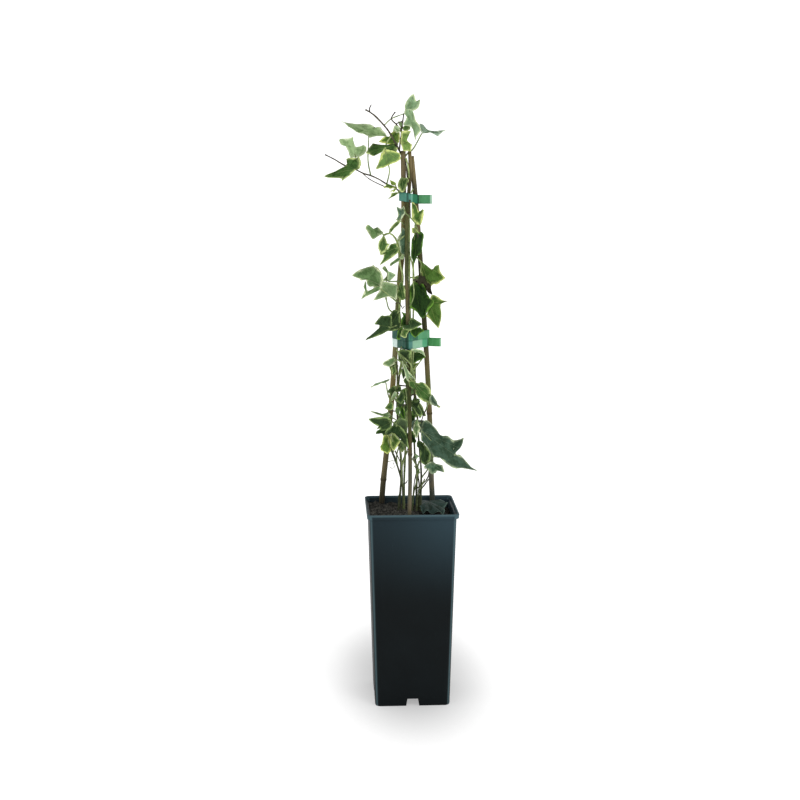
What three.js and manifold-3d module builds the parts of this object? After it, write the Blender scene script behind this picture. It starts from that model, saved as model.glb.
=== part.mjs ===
// A climbing ivy with cream-edged leaves, in a tall square pot, on three canes held by two flat ties.
// Millimetres, +Z up. The origin is on the ground under the middle of the pot, and -Y is the front.
import * as THREE from "three";
import { mergeVertices } from "three/addons/utils/BufferGeometryUtils.js";
import Module from "manifold-3d";

const wasm = await Module();
wasm.setup();

// The pot: a square tapered tub with a stepped rim, on four corner pads and a round middle pad
const potHeight = 239;
const rimWidth = 110;
const rimHeight = 6;
const shoulderWidth = 104;
const footWidth = 90.6;
const potWall = 1.6;
const cornerRadius = 7;
const padThickness = 1.8;
const channelHeight = 9.3;
const channelFootWidth = 16.5;
const channelRoofWidth = 13;
const middlePadRadius = 13;
const drainRadius = 3;
const drainReach = 27;
const padDrainReach = 25;
const postSides = 12;

// The compost, heaped a little towards the left
const soilLevel = 228.5;
const soilSlope = 0.075;
const soilCrumble = 1.3;
const soilCells = 12;

// The canes, with the length of a 600 mm cane set 170 mm deep
const caneFoot = 66;
const caneTaper = 0.8;
const jointSwell = 0.4;
const jointHalfHeight = 1.6;
const caneSides = 7;

// The tapes
const tapeWidth = 10.5;
const tapeThickness = 0.8;
const tapeSlack = 0.6;
const tapeSides = 30;

// The plant
const bladeThickness = 0.8;
const lobedLeaf = 17;
const archedLeaf = 28;
const leafCut = 0.92;
const hubReach = 0.4;
const shortestSide = 1.5;
const crown = 0.06;
const stalkRadius = 0.75;
const stalkSides = 3;
const stalkRing = 0.6;
const stemSides = 5;
const stemStep = 9;

// The gap that neighbouring pieces keep, and how far a cutting tool runs past a surface
const gap = 0.35;
const past = 2;
const mergeTolerance = 0.08;

const v3 = ([x, y, z]) => new THREE.Vector3(x, y, z);

// Closed geometry as a solid, with its seam vertices merged and its empty triangles dropped
function toSolid(geometry) {
  geometry.deleteAttribute("normal");
  geometry.deleteAttribute("uv");
  const merged = mergeVertices(geometry, 1e-4);
  const corners = merged.index.array;
  const kept = [];
  for (let i = 0; i < corners.length; i += 3) {
    const [a, b, c] = corners.slice(i, i + 3);
    if (a !== b && b !== c && c !== a) kept.push(a, b, c);
  }
  return new wasm.Manifold(new wasm.Mesh({
    numProp: 3,
    vertProperties: new Float32Array(merged.attributes.position.array),
    triVerts: new Uint32Array(kept),
  }));
}

function toMesh(name, solid, material) {
  const { vertProperties, triVerts } = solid.getMesh();
  const geometry = new THREE.BufferGeometry();
  geometry.setAttribute("position", new THREE.BufferAttribute(vertProperties, 3));
  geometry.setIndex(new THREE.BufferAttribute(triVerts, 1));
  geometry.computeVertexNormals();
  const mesh = new THREE.Mesh(geometry, material);
  mesh.name = name;
  return mesh;
}

// The largest body of a cut solid: what a clearance cuts loose is dropped
function largestBody(solid) {
  const bodies = solid.decompose();
  bodies.sort((a, b) => b.volume() - a.volume());
  return bodies[0];
}

// Moves each vertex of a geometry by a function of its place
function reshape(geometry, move) {
  const position = geometry.attributes.position;
  const p = new THREE.Vector3();
  for (let i = 0; i < position.count; i += 1) {
    move(p.fromBufferAttribute(position, i));
    position.setXYZ(i, p.x, p.y, p.z);
  }
  return geometry;
}

// A tube of even thickness along a smooth route
function tube(points, radius, sides, step) {
  const path = new THREE.CatmullRomCurve3(points.map(v3));
  const ring = [];
  for (let i = 0; i < sides; i += 1) {
    const turn = 2 * Math.PI * i / sides;
    ring.push(new THREE.Vector2(radius * Math.cos(turn), radius * Math.sin(turn)));
  }
  const steps = Math.max(2, Math.round(path.getLength() / step));
  return toSolid(new THREE.ExtrudeGeometry(new THREE.Shape(ring), { steps, extrudePath: path }));
}

function roundedSquare(width, radius) {
  const reach = width / 2 - radius;
  const shape = new THREE.Shape();
  shape.absarc(reach, reach, radius, 0, Math.PI / 2);
  shape.absarc(-reach, reach, radius, Math.PI / 2, Math.PI);
  shape.absarc(-reach, -reach, radius, Math.PI, 1.5 * Math.PI);
  shape.absarc(reach, -reach, radius, 1.5 * Math.PI, 2 * Math.PI);
  shape.closePath();
  return shape;
}

// A rounded square block whose width grows evenly from its foot to its top
function taperedBlock(widthBelow, widthAbove, radius, low, high) {
  const options = { depth: high - low, bevelEnabled: false, curveSegments: 2 };
  const block = new THREE.ExtrudeGeometry(roundedSquare(widthBelow, radius), options);
  const grow = widthAbove / widthBelow - 1;
  reshape(block, (p) => {
    const scale = 1 + grow * p.z / (high - low);
    p.set(p.x * scale, p.y * scale, p.z + low);
  });
  return toSolid(block);
}

function box(width, depth, low, high) {
  const block = new THREE.BoxGeometry(width, depth, high - low);
  block.translate(0, 0, (low + high) / 2);
  return toSolid(block);
}

function upright(radius, low, high, x = 0, y = 0) {
  const post = new THREE.CylinderGeometry(radius, radius, high - low, postSides);
  post.rotateX(Math.PI / 2);
  post.translate(x, y, (low + high) / 2);
  return toSolid(post);
}

// A channel that runs right across under the pot, narrower at its roof
function channel(grow, low, roof) {
  const shape = new THREE.Shape();
  const foot = channelFootWidth / 2 + grow;
  const head = channelRoofWidth / 2 + grow;
  shape.moveTo(-foot, low);
  shape.lineTo(foot, low);
  shape.lineTo(head, roof);
  shape.lineTo(-head, roof);
  shape.closePath();
  const run = new THREE.ExtrudeGeometry(shape, { depth: 2 * rimWidth, bevelEnabled: false });
  run.translate(0, 0, -rimWidth);
  run.rotateX(Math.PI / 2);
  return toSolid(run);
}

const wallWidthAt = (z) => footWidth + (shoulderWidth - footWidth) * z / (potHeight - rimHeight);

const crossed = (solid) => solid.add(solid.rotate([0, 0, 90]));

function makePot() {
  const shoulder = potHeight - rimHeight;
  const innerWidthAt = (z) => wallWidthAt(z) - 2 * potWall;
  const innerRadius = cornerRadius - potWall;
  const top = shoulder + potWall;
  const outside = taperedBlock(footWidth, wallWidthAt(top), cornerRadius, 0, top)
    .add(taperedBlock(rimWidth - 1, rimWidth, cornerRadius, shoulder, potHeight));
  const hollow = taperedBlock(innerWidthAt(0), innerWidthAt(top), innerRadius, 0, top)
    .subtract(box(rimWidth, rimWidth, -past, padThickness))
    .add(taperedBlock(rimWidth - 1 - 2 * potWall, rimWidth - 2 * potWall, innerRadius, top, potHeight + past));
  const covers = crossed(channel(potWall, 0, channelHeight + potWall))
    .intersect(taperedBlock(footWidth, wallWidthAt(top), cornerRadius, 0, top));
  const middleWell = upright(middlePadRadius - potWall, padThickness, channelHeight + past + potWall);
  const channels = crossed(channel(0, -past, channelHeight))
    .subtract(upright(middlePadRadius, -past - 1, channelHeight + 1));
  let pot = outside.subtract(hollow).add(covers);
  pot = pot.subtract(middleWell).add(upright(middlePadRadius, 0, padThickness)).subtract(channels);
  for (let quarter = 0; quarter < 4; quarter += 1) {
    const arm = upright(drainRadius, -past, channelHeight + potWall + past, drainReach, 0);
    const pad = upright(drainRadius, -past, padThickness + past, padDrainReach, padDrainReach);
    pot = pot.subtract(arm.rotate([0, 0, 90 * quarter])).subtract(pad.rotate([0, 0, 90 * quarter]));
  }
  return pot;
}

// Height of the compost, with crumbs from three crossed waves
function soilHeight(x, y) {
  const crumbs = Math.sin(0.31 * x + 1.3) * Math.cos(0.27 * y) + 0.6 * Math.sin(0.83 * x - 0.57 * y)
    + 0.4 * Math.cos(0.49 * x + 1.1 * y);
  return soilLevel - soilSlope * x + soilCrumble * crumbs;
}

// Where the pot's own inside is, less the gap that the compost keeps to it
function makeSoilBlock() {
  const inset = 2 * (potWall + gap);
  const shoulder = potHeight - rimHeight;
  const radius = cornerRadius - potWall - gap;
  const low = padThickness + gap;
  const block = taperedBlock(wallWidthAt(low) - inset, wallWidthAt(shoulder) - inset, radius, low, shoulder);
  const surface = new THREE.BoxGeometry(rimWidth, rimWidth, 2 * potHeight, soilCells, soilCells, 1);
  reshape(surface, (p) => {
    if (p.z > 0) p.z = soilHeight(p.x, p.y);
  });
  return block.intersect(toSolid(surface))
    .subtract(crossed(channel(potWall + gap, -past, channelHeight + potWall + gap)))
    .subtract(upright(middlePadRadius + gap, 0, channelHeight + potWall + gap));
}

// Each cane by its route from foot to tip, its radius at the foot and the heights of its joints
const canes = {
  cane_left: {
    route: [[-41, 42, caneFoot], [-38, 44, 150], [-33, 46, 242], [-28, 37, 298], [-22, 28, 364],
      [-18, 20, 424], [-13, 11, 512], [-10, 4, 580], [-9.5, 0, 625], [-9, -2, 664]],
    radius: 3.3,
    joints: [262, 398, 556],
  },
  cane_front: {
    route: [[-5, -41, caneFoot], [-4, -42, 150], [-4, -41, 236], [-3, -37, 278], [-3, -30, 337],
      [-4, -20, 431], [-6, -13, 513], [-5.5, -8, 580], [-5, -6, 611], [-3.5, -4.5, 664]],
    radius: 2.3,
    joints: [308, 450, 592],
  },
  cane_right: {
    route: [[36, 42, caneFoot], [34, 44, 150], [30, 46, 236], [28, 40, 270], [25, 32, 347],
      [20, 22, 427], [15, 14.5, 490], [10, 8, 550], [5.5, 2.5, 612], [1, 1.5, 658]],
    radius: 3.2,
    joints: [226, 347, 504],
  },
};

// The point of a route at a given height, found by halving
function pointAtHeight(path, height) {
  let [low, high] = [0, 1];
  for (let i = 0; i < 30; i += 1) {
    const middle = (low + high) / 2;
    if (path.getPoint(middle).z < height) low = middle;
    else high = middle;
  }
  return path.getPoint((low + high) / 2);
}

// A tapering cane turned as a straight rod and then moved sideways onto its route
function makeCane({ route, radius, joints }, grow = 0) {
  const path = new THREE.CatmullRomCurve3(route.map(v3));
  const foot = route[0][2] - grow;
  const tip = route[route.length - 1][2] + grow;
  const thickness = (z) => radius * (1 - (1 - caneTaper) * (z - foot) / (tip - foot)) + grow;
  const heights = [foot];
  for (let z = foot + 35; z < tip - 20; z += 48) heights.push(z);
  const profile = heights.concat(tip).map((z) => [thickness(z), z]);
  for (const z of joints) {
    profile.push([thickness(z), z - 2 * jointHalfHeight]);
    profile.push([thickness(z) + jointSwell, z]);
    profile.push([thickness(z), z + 2 * jointHalfHeight]);
  }
  profile.sort((a, b) => a[1] - b[1]);
  const outline = [[0, foot], ...profile, [0, tip]].map(([r, z]) => new THREE.Vector2(r, z));
  const rod = new THREE.LatheGeometry(outline, caneSides);
  rod.rotateX(Math.PI / 2);
  reshape(rod, (p) => {
    const middle = pointAtHeight(path, p.z);
    p.x += middle.x;
    p.y += middle.y;
  });
  return toSolid(rod);
}

// Each tape by the canes that it runs round, as across, deep and radius, and by its height and tail
const ties = {
  tie_upper: {
    around: [[-10, 1.3, 3], [-5, -6.3, 2.2], [5.8, 2.6, 3]],
    low: 602.4,
    high: 602.4 + tapeWidth,
    lift: 0.16,
    tailFrom: [8, -0.9],
    tailTo: [24.5, -3],
  },
  tie_lower: {
    around: [[-17.3, 18.5, 3], [-4.2, -19.5, 2.3], [19.4, 21, 3.1]],
    low: 431.5,
    high: 431.5 + 1.9 * tapeWidth,
    lift: 0,
    tailFrom: [22.5, 19],
    tailTo: [37.5, 14],
  },
};

// The line of a taut band round several posts: in each direction the post that reaches furthest
function tautOutline(posts, grow) {
  const points = [];
  for (let i = 0; i < tapeSides; i += 1) {
    const turn = 2 * Math.PI * (i + 0.5) / tapeSides;
    const [c, s] = [Math.cos(turn), Math.sin(turn)];
    const reach = posts.map(([x, y, r]) => x * c + y * s + r);
    const [x, y, r] = posts[reach.indexOf(Math.max(...reach))];
    points.push(new THREE.Vector2(x + (r + grow) * c, y + (r + grow) * s));
  }
  return points;
}

function makeTie({ around, low, high, lift, tailFrom, tailTo }, grow = 0) {
  const inner = tapeSlack - grow;
  const outer = tapeSlack + tapeThickness + grow;
  const loop = new THREE.Shape(tautOutline(around, outer));
  loop.holes.push(new THREE.Path(tautOutline(around, inner)));
  const height = high - low + 2 * grow;
  const band = new THREE.ExtrudeGeometry(loop, { depth: height, bevelEnabled: false });
  band.translate(0, 0, low - grow);
  reshape(band, (p) => {
    p.z += lift * Math.max(0, tailFrom[0] - p.x);
  });
  const [dx, dy] = [tailTo[0] - tailFrom[0], tailTo[1] - tailFrom[1]];
  const tail = new THREE.BoxGeometry(Math.hypot(dx, dy) + grow, 2 * (tapeThickness + grow), tapeWidth + 2 * grow);
  tail.rotateZ(Math.atan2(dy, dx));
  tail.translate((tailFrom[0] + tailTo[0]) / 2, (tailFrom[1] + tailTo[1]) / 2, low + tapeWidth / 2);
  return toSolid(band).add(toSolid(tail));
}

// The four rooted stems. Each has its stem and twig routes, as points and a radius, and its leaves.
// A leaf is given by the foot of its blade and the tips of its lobes, in turn to the left as seen
// from its upper side, and where its stalk shows, by the stalk's route. Its edge is cut in between the
// lobes by the share in cut, or runs through the points given as sides, seen from the front, from the foot
// to each tip in turn. The blade arches about its middle.
const vines = {
  vine_top: {
    stems: [
      { radius: 1.5, route: [[-7, 22, 214], [-7, 19, 260], [-6, 14, 300], [-4, 12, 350], [-1, 10, 400],
        [0, 9, 437], [-1, 6, 480], [-2, 5, 530], [-3, 4, 575], [-3, 3, 611], [-4, 5, 640], [-9, 4.5, 655],
        [-14, -3, 664], [-25, -10, 683], [-32, -12, 692], [-44, -14, 704], [-54, -15, 710]] },
      { radius: 0.9, route: [[-49, -14.5, 707.5], [-49, -13, 712], [-47, -12, 716]] },
      { radius: 0.9, route: [[-32, -12, 692.5], [-24, -10, 700], [-9, -8, 706], [-4, -8, 708.5]] },
      { radius: 1.1, route: [[-14, -4, 665], [-13, -8, 676], [-12, -8, 685], [-18, -9, 694], [-24, -10, 700],
        [-19, -11, 708]] },
      { radius: 0.8, route: [[-18, -9, 694.5], [-10, -8, 698]] },
      { radius: 1, route: [[-12, -8, 686], [-11, -7, 693], [-9, -8, 706]] },
      { radius: 1.1, route: [[-3, 4, 612], [-9, 6, 615.5], [-15, 2, 618], [-21, -6, 622], [-29, -8, 625],
        [-37, -10, 630], [-48, -12, 635], [-56, -13, 637], [-64, -14, 641], [-79, -8, 647], [-89, -8, 653],
        [-101, -9, 659]] },
      { radius: 0.9, route: [[-20, -5, 621], [-29, -10, 621.5], [-37, -12, 624.5], [-49, -12, 630.5],
        [-57, -13, 637]] },
    ],
    leaves: [
      { base: [-50, -8, 679], stalk: [[-48, -12, 635], [-51, -10, 653]], lobes: [[-76, -12, 691],
        [-82, 1, 698], [-56, 16, 696], [-28, 8, 683]], sides: [[[-54, 682], [-64, 687]], [[-74, 693],
        [-78, 694]], [], [[-44, 692], [-40, 692], [-36, 690]], [[-32, 680], [-45, 680], [-50, 680]]] },
      { base: [-65, -4, 656], stalk: [[-64, -14, 641], [-65, -9, 649]], lobes: [[-84, -12, 674],
        [-68, 4, 681], [-52, 6, 666]], sides: [[[-68, 656], [-72, 656], [-74, 664], [-77, 669],
        [-83, 670]], [[-83, 677], [-73, 678]], [[-68, 678], [-64, 668], [-56, 670], [-52, 668]],
        [[-54, 662], [-57, 659], [-60, 657]]] },
      { base: [-64, -14, 642], lobes: [[-62, -9, 657], [-102, -18, 634], [-82, -22, 628]], sides: [
        [[-65, 642], [-62, 642], [-60, 645], [-59, 650]], [[-64, 655], [-72, 655], [-76, 654], [-76, 648],
        [-78, 646], [-90, 639]], [[-94, 632], [-82, 631]], [[-73, 634]]] },
      { base: [-31, -12, 665], stalk: [[-24, -9, 680], [-29, -9, 673]], lobes: [[-20, -11, 658],
        [-16, -3, 672], [-46, -1, 672], [-54, -14, 660], [-45, -21, 656]], sides: [[[-28, 664],
        [-22, 658]], [[-18, 660], [-16, 668]], [[-24, 671], [-42, 671]], [], [[-50, 660]], [[-31, 664]]]
        , middle: [-32, 668] },
      { base: [-31, -13, 663], stalk: [[-29, -8, 625], [-26, -10, 639], [-27, -10, 647]], lobes: [
        [-14, -11, 653], [-28, -17, 646], [-42, -18, 642]], sides: [[[-25, 664], [-15, 661], [-13, 657]],
        [], [[-34, 644]], [[-38, 652], [-36, 660], [-30, 664]]] },
      { base: [-17, -3, 675], lobes: [[-14, -1, 686], [-21, -4, 686], [-38, -6, 674]], sides: [[[-14, 676],
        [-13, 682]], [[-17, 687]], [[-24, 684], [-26, 680], [-31, 680]], [[-31, 672], [-24, 671],
        [-16, 672]]] },
      { base: [-4, -8, 708], lobes: [[10, -10, 722], [2, -14, 728]], sides: [[[-4, 708], [4, 710],
        [9, 715]], [[6, 720], [4, 724]], [[-2, 726], [-4, 723], [-6, 720], [-8, 715], [-8, 711], [-8, 707]]]
         },
      { base: [-3, -12, 710], lobes: [[10, -15, 686], [4, -18, 674]], sides: [[[0, 710], [2, 707],
        [4, 699], [9, 693]], [[5, 679]], [[1, 688], [-2, 691], [-10, 693], [-6, 702], [-8, 705], [-8, 709],
        [-5, 711]]] },
      { base: [-9, -9, 685], lobes: [[-6, -10, 686], [-2, -12, 690]], sides: [[[-10, 687]], [[-2, 688]],
        [[-5, 693], [-9, 692], [-10, 690]]] },
      { base: [-12, -9, 674], lobes: [[-1, -13, 663], [0, -16, 670], [-1, -11, 686]], sides: [[[-12, 680],
        [-13, 674], [-10, 664], [-6, 663]], [], [[-4, 674], [-6, 677]], [[-11, 686]]] },
      { base: [-12, -6, 689], lobes: [[-10, -7, 692], [-16, -8, 697]], sides: [[], [[-10, 695],
        [-12, 697]], [[-13, 691], [-10, 688]]] },
      { base: [-13, -8, 686], lobes: [[-18, -8, 693], [-21, -10, 690], [-18, -10, 684]] },
      { base: [13, -6, 685], stalk: [[-9, 4, 655], [-3, 4, 662], [3, 0, 667]], lobes: [[30, -21, 680],
        [40, -12, 687], [12, 4, 696]], sides: [[[16, 684], [24, 683]], [], [[34, 685], [29, 685],
        [18, 689], [14, 694]], [[10, 692], [11, 688], [12, 684]]], middle: [21, 684] },
      { base: [-9, -9, 617], stalk: [[-15, 2, 618], [-14, -5, 617]], lobes: [[-5, -11, 633],
        [-12, -8, 634]], sides: [[[-10, 616], [-8, 618], [-4, 626], [-4, 630]], [[-10, 632]], [[-16, 626],
        [-16, 622], [-12, 616]]] },
      { base: [-18, -6, 623], lobes: [[-20, -6, 628], [-26, -9, 630]], sides: [[[-19, 624], [-18, 626]],
        [], [[-24, 625], [-22, 624]]] },
      { base: [-20, -8, 622], lobes: [[-29, -10, 625], [-33, -14, 621], [-24, -16, 620]] },
      { base: [-17, -5, 621], lobes: [[-21, -9, 619], [-25, -12, 617], [-21, -10, 616]] },
      { base: [-15, -7, 615], stalk: [[-15, 2, 618], [-15, -3, 616]], lobes: [[-23, -10, 615], [-27, -12, 608]] },
      { base: [-14, -13, 583], stalk: [[-3, 4, 575], [-8, -3, 578]], lobes: [[-9, -13, 600],
        [-18, -14, 599], [-18, -10, 584]], sides: [[[-12, 585], [-8, 591], [-8, 594]], [[-12, 597]],
        [[-16, 589]], [[-16, 582], [-13, 582]]] },
      { base: [-8, 13, 567], lobes: [[-14, 15, 557], [-11, 12, 540], [-2, 14, 548]] },
      { base: [-2, 20, 352], lobes: [[11, 33, 345], [-2, 39, 328], [-15, 33, 343]] },
      { base: [-6, 20, 318], lobes: [[4, 34, 312], [-8, 38, 298], [-19, 31, 310]] },
      { base: [-1, 19, 382], lobes: [[9, 29, 376], [-2, 35, 361], [-12, 29, 374]] },
      { base: [-6, 17, 505], lobes: [[4, 29, 503], [-5, 34, 488], [-16, 28, 499]] },
      { base: [6, 14, 515], lobes: [[15, 21, 520], [17, 27, 503], [5, 26, 505]] },
      { base: [-3, 16, 466], lobes: [[7, 27, 462], [-2, 32, 448], [-13, 26, 459]] },
      { base: [-18, -8, 686], lobes: [[-22, -9, 686], [-20, -12, 692]], sides: [[[-18, 686]], [],
        [[-16, 692], [-14, 688]]] },
    ],
  },
  vine_left: {
    stems: [
      { radius: 1.5, route: [[-13, 18, 214], [-12, 16, 250], [-11, 13, 271], [-12, 9, 299], [-14, 6, 315],
        [-16, 0, 345], [-17, -4, 367], [-14, -6, 400], [-9, -5, 437], [-13, -6, 465], [-14, -6, 480],
        [-12, -5, 500], [-10, -6, 517], [-14, -9, 534], [-15, -11, 549], [-19, -14, 562], [-26, -16, 568],
        [-33, -18, 566]] },
      { radius: 1.3, route: [[-11, 13, 270], [-18, 8, 293], [-23, 2, 307], [-26, -6, 321], [-27, -10, 345],
        [-24, -11, 367]] },
      { radius: 0.9, route: [[-10, 10, 289], [-7, 6, 299], [-3, 2, 309]] },
    ],
    leaves: [
      { base: [-25, -15, 573], lobes: [[-14, -14, 580], [-14, -14, 583]], sides: [[[-24, 570]], [],
        [[-18, 582], [-24, 576], [-26, 572], [-27, 568]]] },
      { base: [-34, -17, 567], lobes: [[-40, -11, 576], [-52, -22, 578], [-46, -31, 562]], sides: [
        [[-35, 570], [-38, 573]], [[-43, 574], [-46, 573], [-48, 576]], [[-54, 576], [-53, 571],
        [-48, 563]], [[-42, 563], [-34, 568]]] },
      { base: [-33, -18, 565], lobes: [[-37, -23, 544], [-26, -20, 556]], sides: [[[-35, 563], [-38, 560],
        [-40, 554], [-39, 549]], [[-32, 547]], [[-29, 557], [-33, 566]]] },
      { base: [-16, -13, 552], lobes: [[-38, -24, 544], [-38, -26, 531]], sides: [[[-16, 552], [-18, 557],
        [-22, 556], [-26, 554], [-34, 546]], [[-36, 543], [-33, 544], [-34, 540]], [[-16, 546]]] },
      { base: [-14, -10, 537], lobes: [[-24, -12, 530]], sides: [[[-18, 538], [-25, 533], [-26, 530]],
        [[-13, 537], [-13, 540]]] },
      { base: [-35, -16, 507], stalk: [[-14, -6, 470], [-26, -10, 478], [-30, -13, 490]], lobes: [
        [-48, -12, 530], [-70, -26, 520], [-47, -22, 506]], sides: [[[-34, 512], [-34, 516], [-38, 526],
        [-44, 530]], [[-62, 526]], [[-64, 516], [-60, 514], [-55, 514], [-52, 508]], [[-42, 505],
        [-37, 506]]] },
      { base: [-30, -14, 511], stalk: [[-30, -13, 490], [-31, -14, 501]], lobes: [[-32, -7, 530]], sides: [
        [[-32, 512], [-34, 513], [-29, 519], [-30, 522], [-34, 526], [-34, 528]], [[-30, 528], [-26, 520],
        [-28, 513]]], middle: [-26, 520] },
      { base: [-34, -18, 508], stalk: [[-30, -13, 490], [-32, -15, 499]], lobes: [[-18, -16, 508],
        [-18, -24, 491], [-46, -26, 490]], sides: [[[-34, 512]], [[-17, 506], [-18, 496]], [[-28, 494]],
        [[-38, 502]]] },
      { base: [-14, -13, 509], lobes: [[-12, -14, 512], [-19, -17, 496], [-10, -22, 490]], sides: [
        [[-8, 500], [-8, 502]], [[-16, 506], [-16, 502]], [[-14, 491]], [[-8, 492]]] },
      { base: [-24, -20, 458], lobes: [[-44, -22, 462], [-56, -32, 444]], sides: [[[-24, 458], [-24, 470],
        [-26, 472], [-33, 472], [-37, 472]], [[-39, 462], [-38, 460], [-39, 458], [-42, 454]], [[-36, 450],
        [-30, 453]]] },
      { base: [-15, -10, 477], lobes: [[-16, -10, 477], [-28, -13, 453]], sides: [[[-14, 457], [-14, 464],
        [-14, 472]], [[-21, 478], [-24, 475], [-26, 472], [-28, 467]], [[-18, 454]]] },
      { base: [-18, -16, 418], lobes: [[-21, -16, 423], [-35, -22, 414], [-28, -22, 411]], sides: [[],
        [[-32, 418], [-34, 416]], [], [[-21, 414], [-19, 418], [-19, 420]]] },
      { base: [-31, -14, 392], stalk: [[-24, -11, 367], [-28, -12, 377]], lobes: [[-26, -2, 394],
        [-49, -16, 386]], sides: [[[-28, 392]], [[-44, 390]], [[-36, 390]]] },
      { base: [-16, -12, 411], lobes: [[-24, -14, 410], [-23, -16, 400]] },
      { base: [-19, -14, 369], lobes: [[-13, -16, 366], [-11, -17, 382]], sides: [[[-19, 370]], [[-8, 373],
        [-9, 378]], [[-16, 376], [-18, 372]]] },
      { base: [-23, -12, 367], lobes: [[-25, -12, 368], [-32, -16, 361]], sides: [[[-22, 360], [-22, 365]],
        [[-28, 366]], [[-27, 358]]] },
      { base: [-23, -12, 351], lobes: [[-28, -12, 356], [-50, -20, 358], [-32, -19, 348]], sides: [[],
        [[-33, 354], [-38, 355]], [[-36, 352], [-34, 350]], [[-27, 349], [-26, 353]]] },
      { base: [-24, -18, 345], lobes: [[-52, -28, 350], [-42, -31, 338], [-25, -24, 338]], sides: [
        [[-24, 343], [-25, 348], [-30, 351], [-34, 352], [-49, 351]], [[-48, 346], [-42, 342], [-40, 341]],
        [[-38, 338], [-36, 336]], []] },
      { base: [-19, -22, 343], lobes: [[-32, -27, 330], [-5, -40, 316]], sides: [[[-32, 335]], [[-28, 332],
        [-23, 332], [-20, 330], [-13, 325]], [[-6, 324], [-8, 334], [-14, 340], [-18, 342], [-22, 342],
        [-28, 338]]] },
      { base: [-30, -22, 331], lobes: [[-33, -23, 330], [-37, -28, 312], [-30, -30, 308]], sides: [[],
        [[-34, 328], [-36, 320], [-38, 316]], [], [[-27, 310], [-26, 312], [-27, 328], [-30, 330]]] },
      { base: [-23, -30, 333], lobes: [[-21, -36, 314], [-14, -34, 324]], sides: [[[-26, 328], [-26, 320],
        [-24, 314]], [], [[-17, 328], [-21, 332], [-24, 332]]] },
      { base: [-12, -22, 455], lobes: [[-14, -23, 448], [-8, -28, 446]], sides: [[[-12, 455]], [],
        [[-5, 452], [-4, 456]]] },
      { base: [-10, -22, 416], lobes: [[-3, -24, 417], [-2, -26, 431], [-16, -23, 430]], sides: [
        [[-8, 419]], [[-2, 424]], [[-12, 432]], [[-16, 426]]] },
      { base: [-23, 6, 334], lobes: [[-34, 8, 338], [-42, 12, 326], [-30, 16, 322]] },
      { base: [-17, -6, 366], lobes: [[-9, -10, 369], [-7, -12, 360], [-14, -10, 357]] },
      { base: [-15, -6, 346], lobes: [[-22, -10, 341], [-19, -12, 329], [-8, -10, 332]] },
      { base: [-15, -12, 428], lobes: [[-15, -14, 417], [-8, -17, 413], [-1, -17, 424], [-9, -15, 431]] },
      { base: [-21, -6, 386], lobes: [[-28, -9, 381], [-24, -10, 371], [-17, -9, 376]] },
      { base: [-9, -28, 416], stalk: [[-9, -5, 437], [-14, -15, 429], [-13, -24, 421]], lobes: [
        [4, -32, 396], [-4, -31, 395]], sides: [[[-12, 418], [-10, 416], [-4, 406]], [[-3, 400]],
        [[-6, 396], [-8, 400]]] },
      { base: [-4, -6, 568], lobes: [[-11, -6, 575], [-17, -9, 561], [-10, -9, 538]], sides: [[[-4, 568]],
        [[-12, 570]], [], [[-7, 544], [-4, 552]]] },
      { base: [-9, -12, 542], lobes: [[-11, -12, 544]], sides: [[[-9, 542]], [[-14, 539], [-10, 538]]] },
      { base: [-41, -20, 506], lobes: [[-55, -26, 513], [-60, -24, 491]], sides: [[[-41, 506], [-50, 502],
        [-53, 502], [-54, 506], [-54, 510]], [[-57, 506], [-56, 502]], [[-56, 494], [-40, 501], [-37, 504],
        [-36, 508]]], middle: [-54, 498] },
      { base: [-28, -16, 512], lobes: [[-28, -13, 524], [-19, -19, 520]], sides: [[[-28, 512]], [],
        [[-22, 516]]] },
      { base: [-4, -12, 460], lobes: [[-4, -14, 476], [-12, -14, 476]], sides: [[[-4, 460], [-3, 468]],
        [[-8, 474]], [[-10, 472], [-12, 467], [-12, 460], [-9, 458]]] },
      { base: [-16, -20, 455], lobes: [[-16, -22, 455], [-14, -24, 444]], sides: [[], [[-18, 449],
        [-18, 444]], [[-15, 448], [-10, 455], [-12, 458]]] },
      { base: [-24, -15, 370], lobes: [[-20, -12, 381], [-17, -13, 377]], sides: [[[-24, 370], [-24, 374]],
        [], [[-22, 370]]] },
    ],
  },
  vine_right: {
    stems: [
      { radius: 1.5, route: [[8, 17, 214], [8, 14, 255], [8, 8, 281], [5, 1, 300], [4, 2, 345], [5, 1, 400],
        [4, -3, 440], [2, -11, 468], [3, -13, 490], [3, -13, 505], [2, -12, 533], [3, -12, 550],
        [4, -15, 578]] },
      { radius: 0.9, route: [[3, 22, 228], [5, 14, 262], [8, 8, 281]] },
      { radius: 0.9, route: [[8, 14, 256], [16, 16, 262], [23, 21, 270], [24, 20, 290]] },
    ],
    leaves: [
      { base: [4, -16, 578], lobes: [[10, -18, 578], [14, -18, 595], [0, -12, 604]], sides: [[[6, 578]],
        [[13, 586]], [[12, 596], [8, 594], [4, 602]], [[0, 586], [2, 582]]] },
      { base: [7, -12, 568], lobes: [[8, -12, 569], [4, -12, 574]], sides: [[[5, 568]], [], [[0, 574],
        [1, 568]]] },
      { base: [7, -14, 567], lobes: [[2, -22, 532], [14, -8, 567], [12, -9, 570]], sides: [[[-1, 546],
        [0, 538]], [[6, 541], [11, 546], [14, 560]], [], [[4, 568], [2, 564], [0, 560]]] },
      { base: [12, -4, 534], stalk: [[2, -12, 540], [7, -8, 539]], lobes: [[22, -12, 505], [40, -18, 516],
        [32, -10, 531], [12, -4, 535]], sides: [[[12, 520], [12, 516], [14, 512]], [[26, 508], [30, 508],
        [34, 512]], [[34, 523]], [[28, 529], [24, 526]], [[11, 527]]] },
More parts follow.
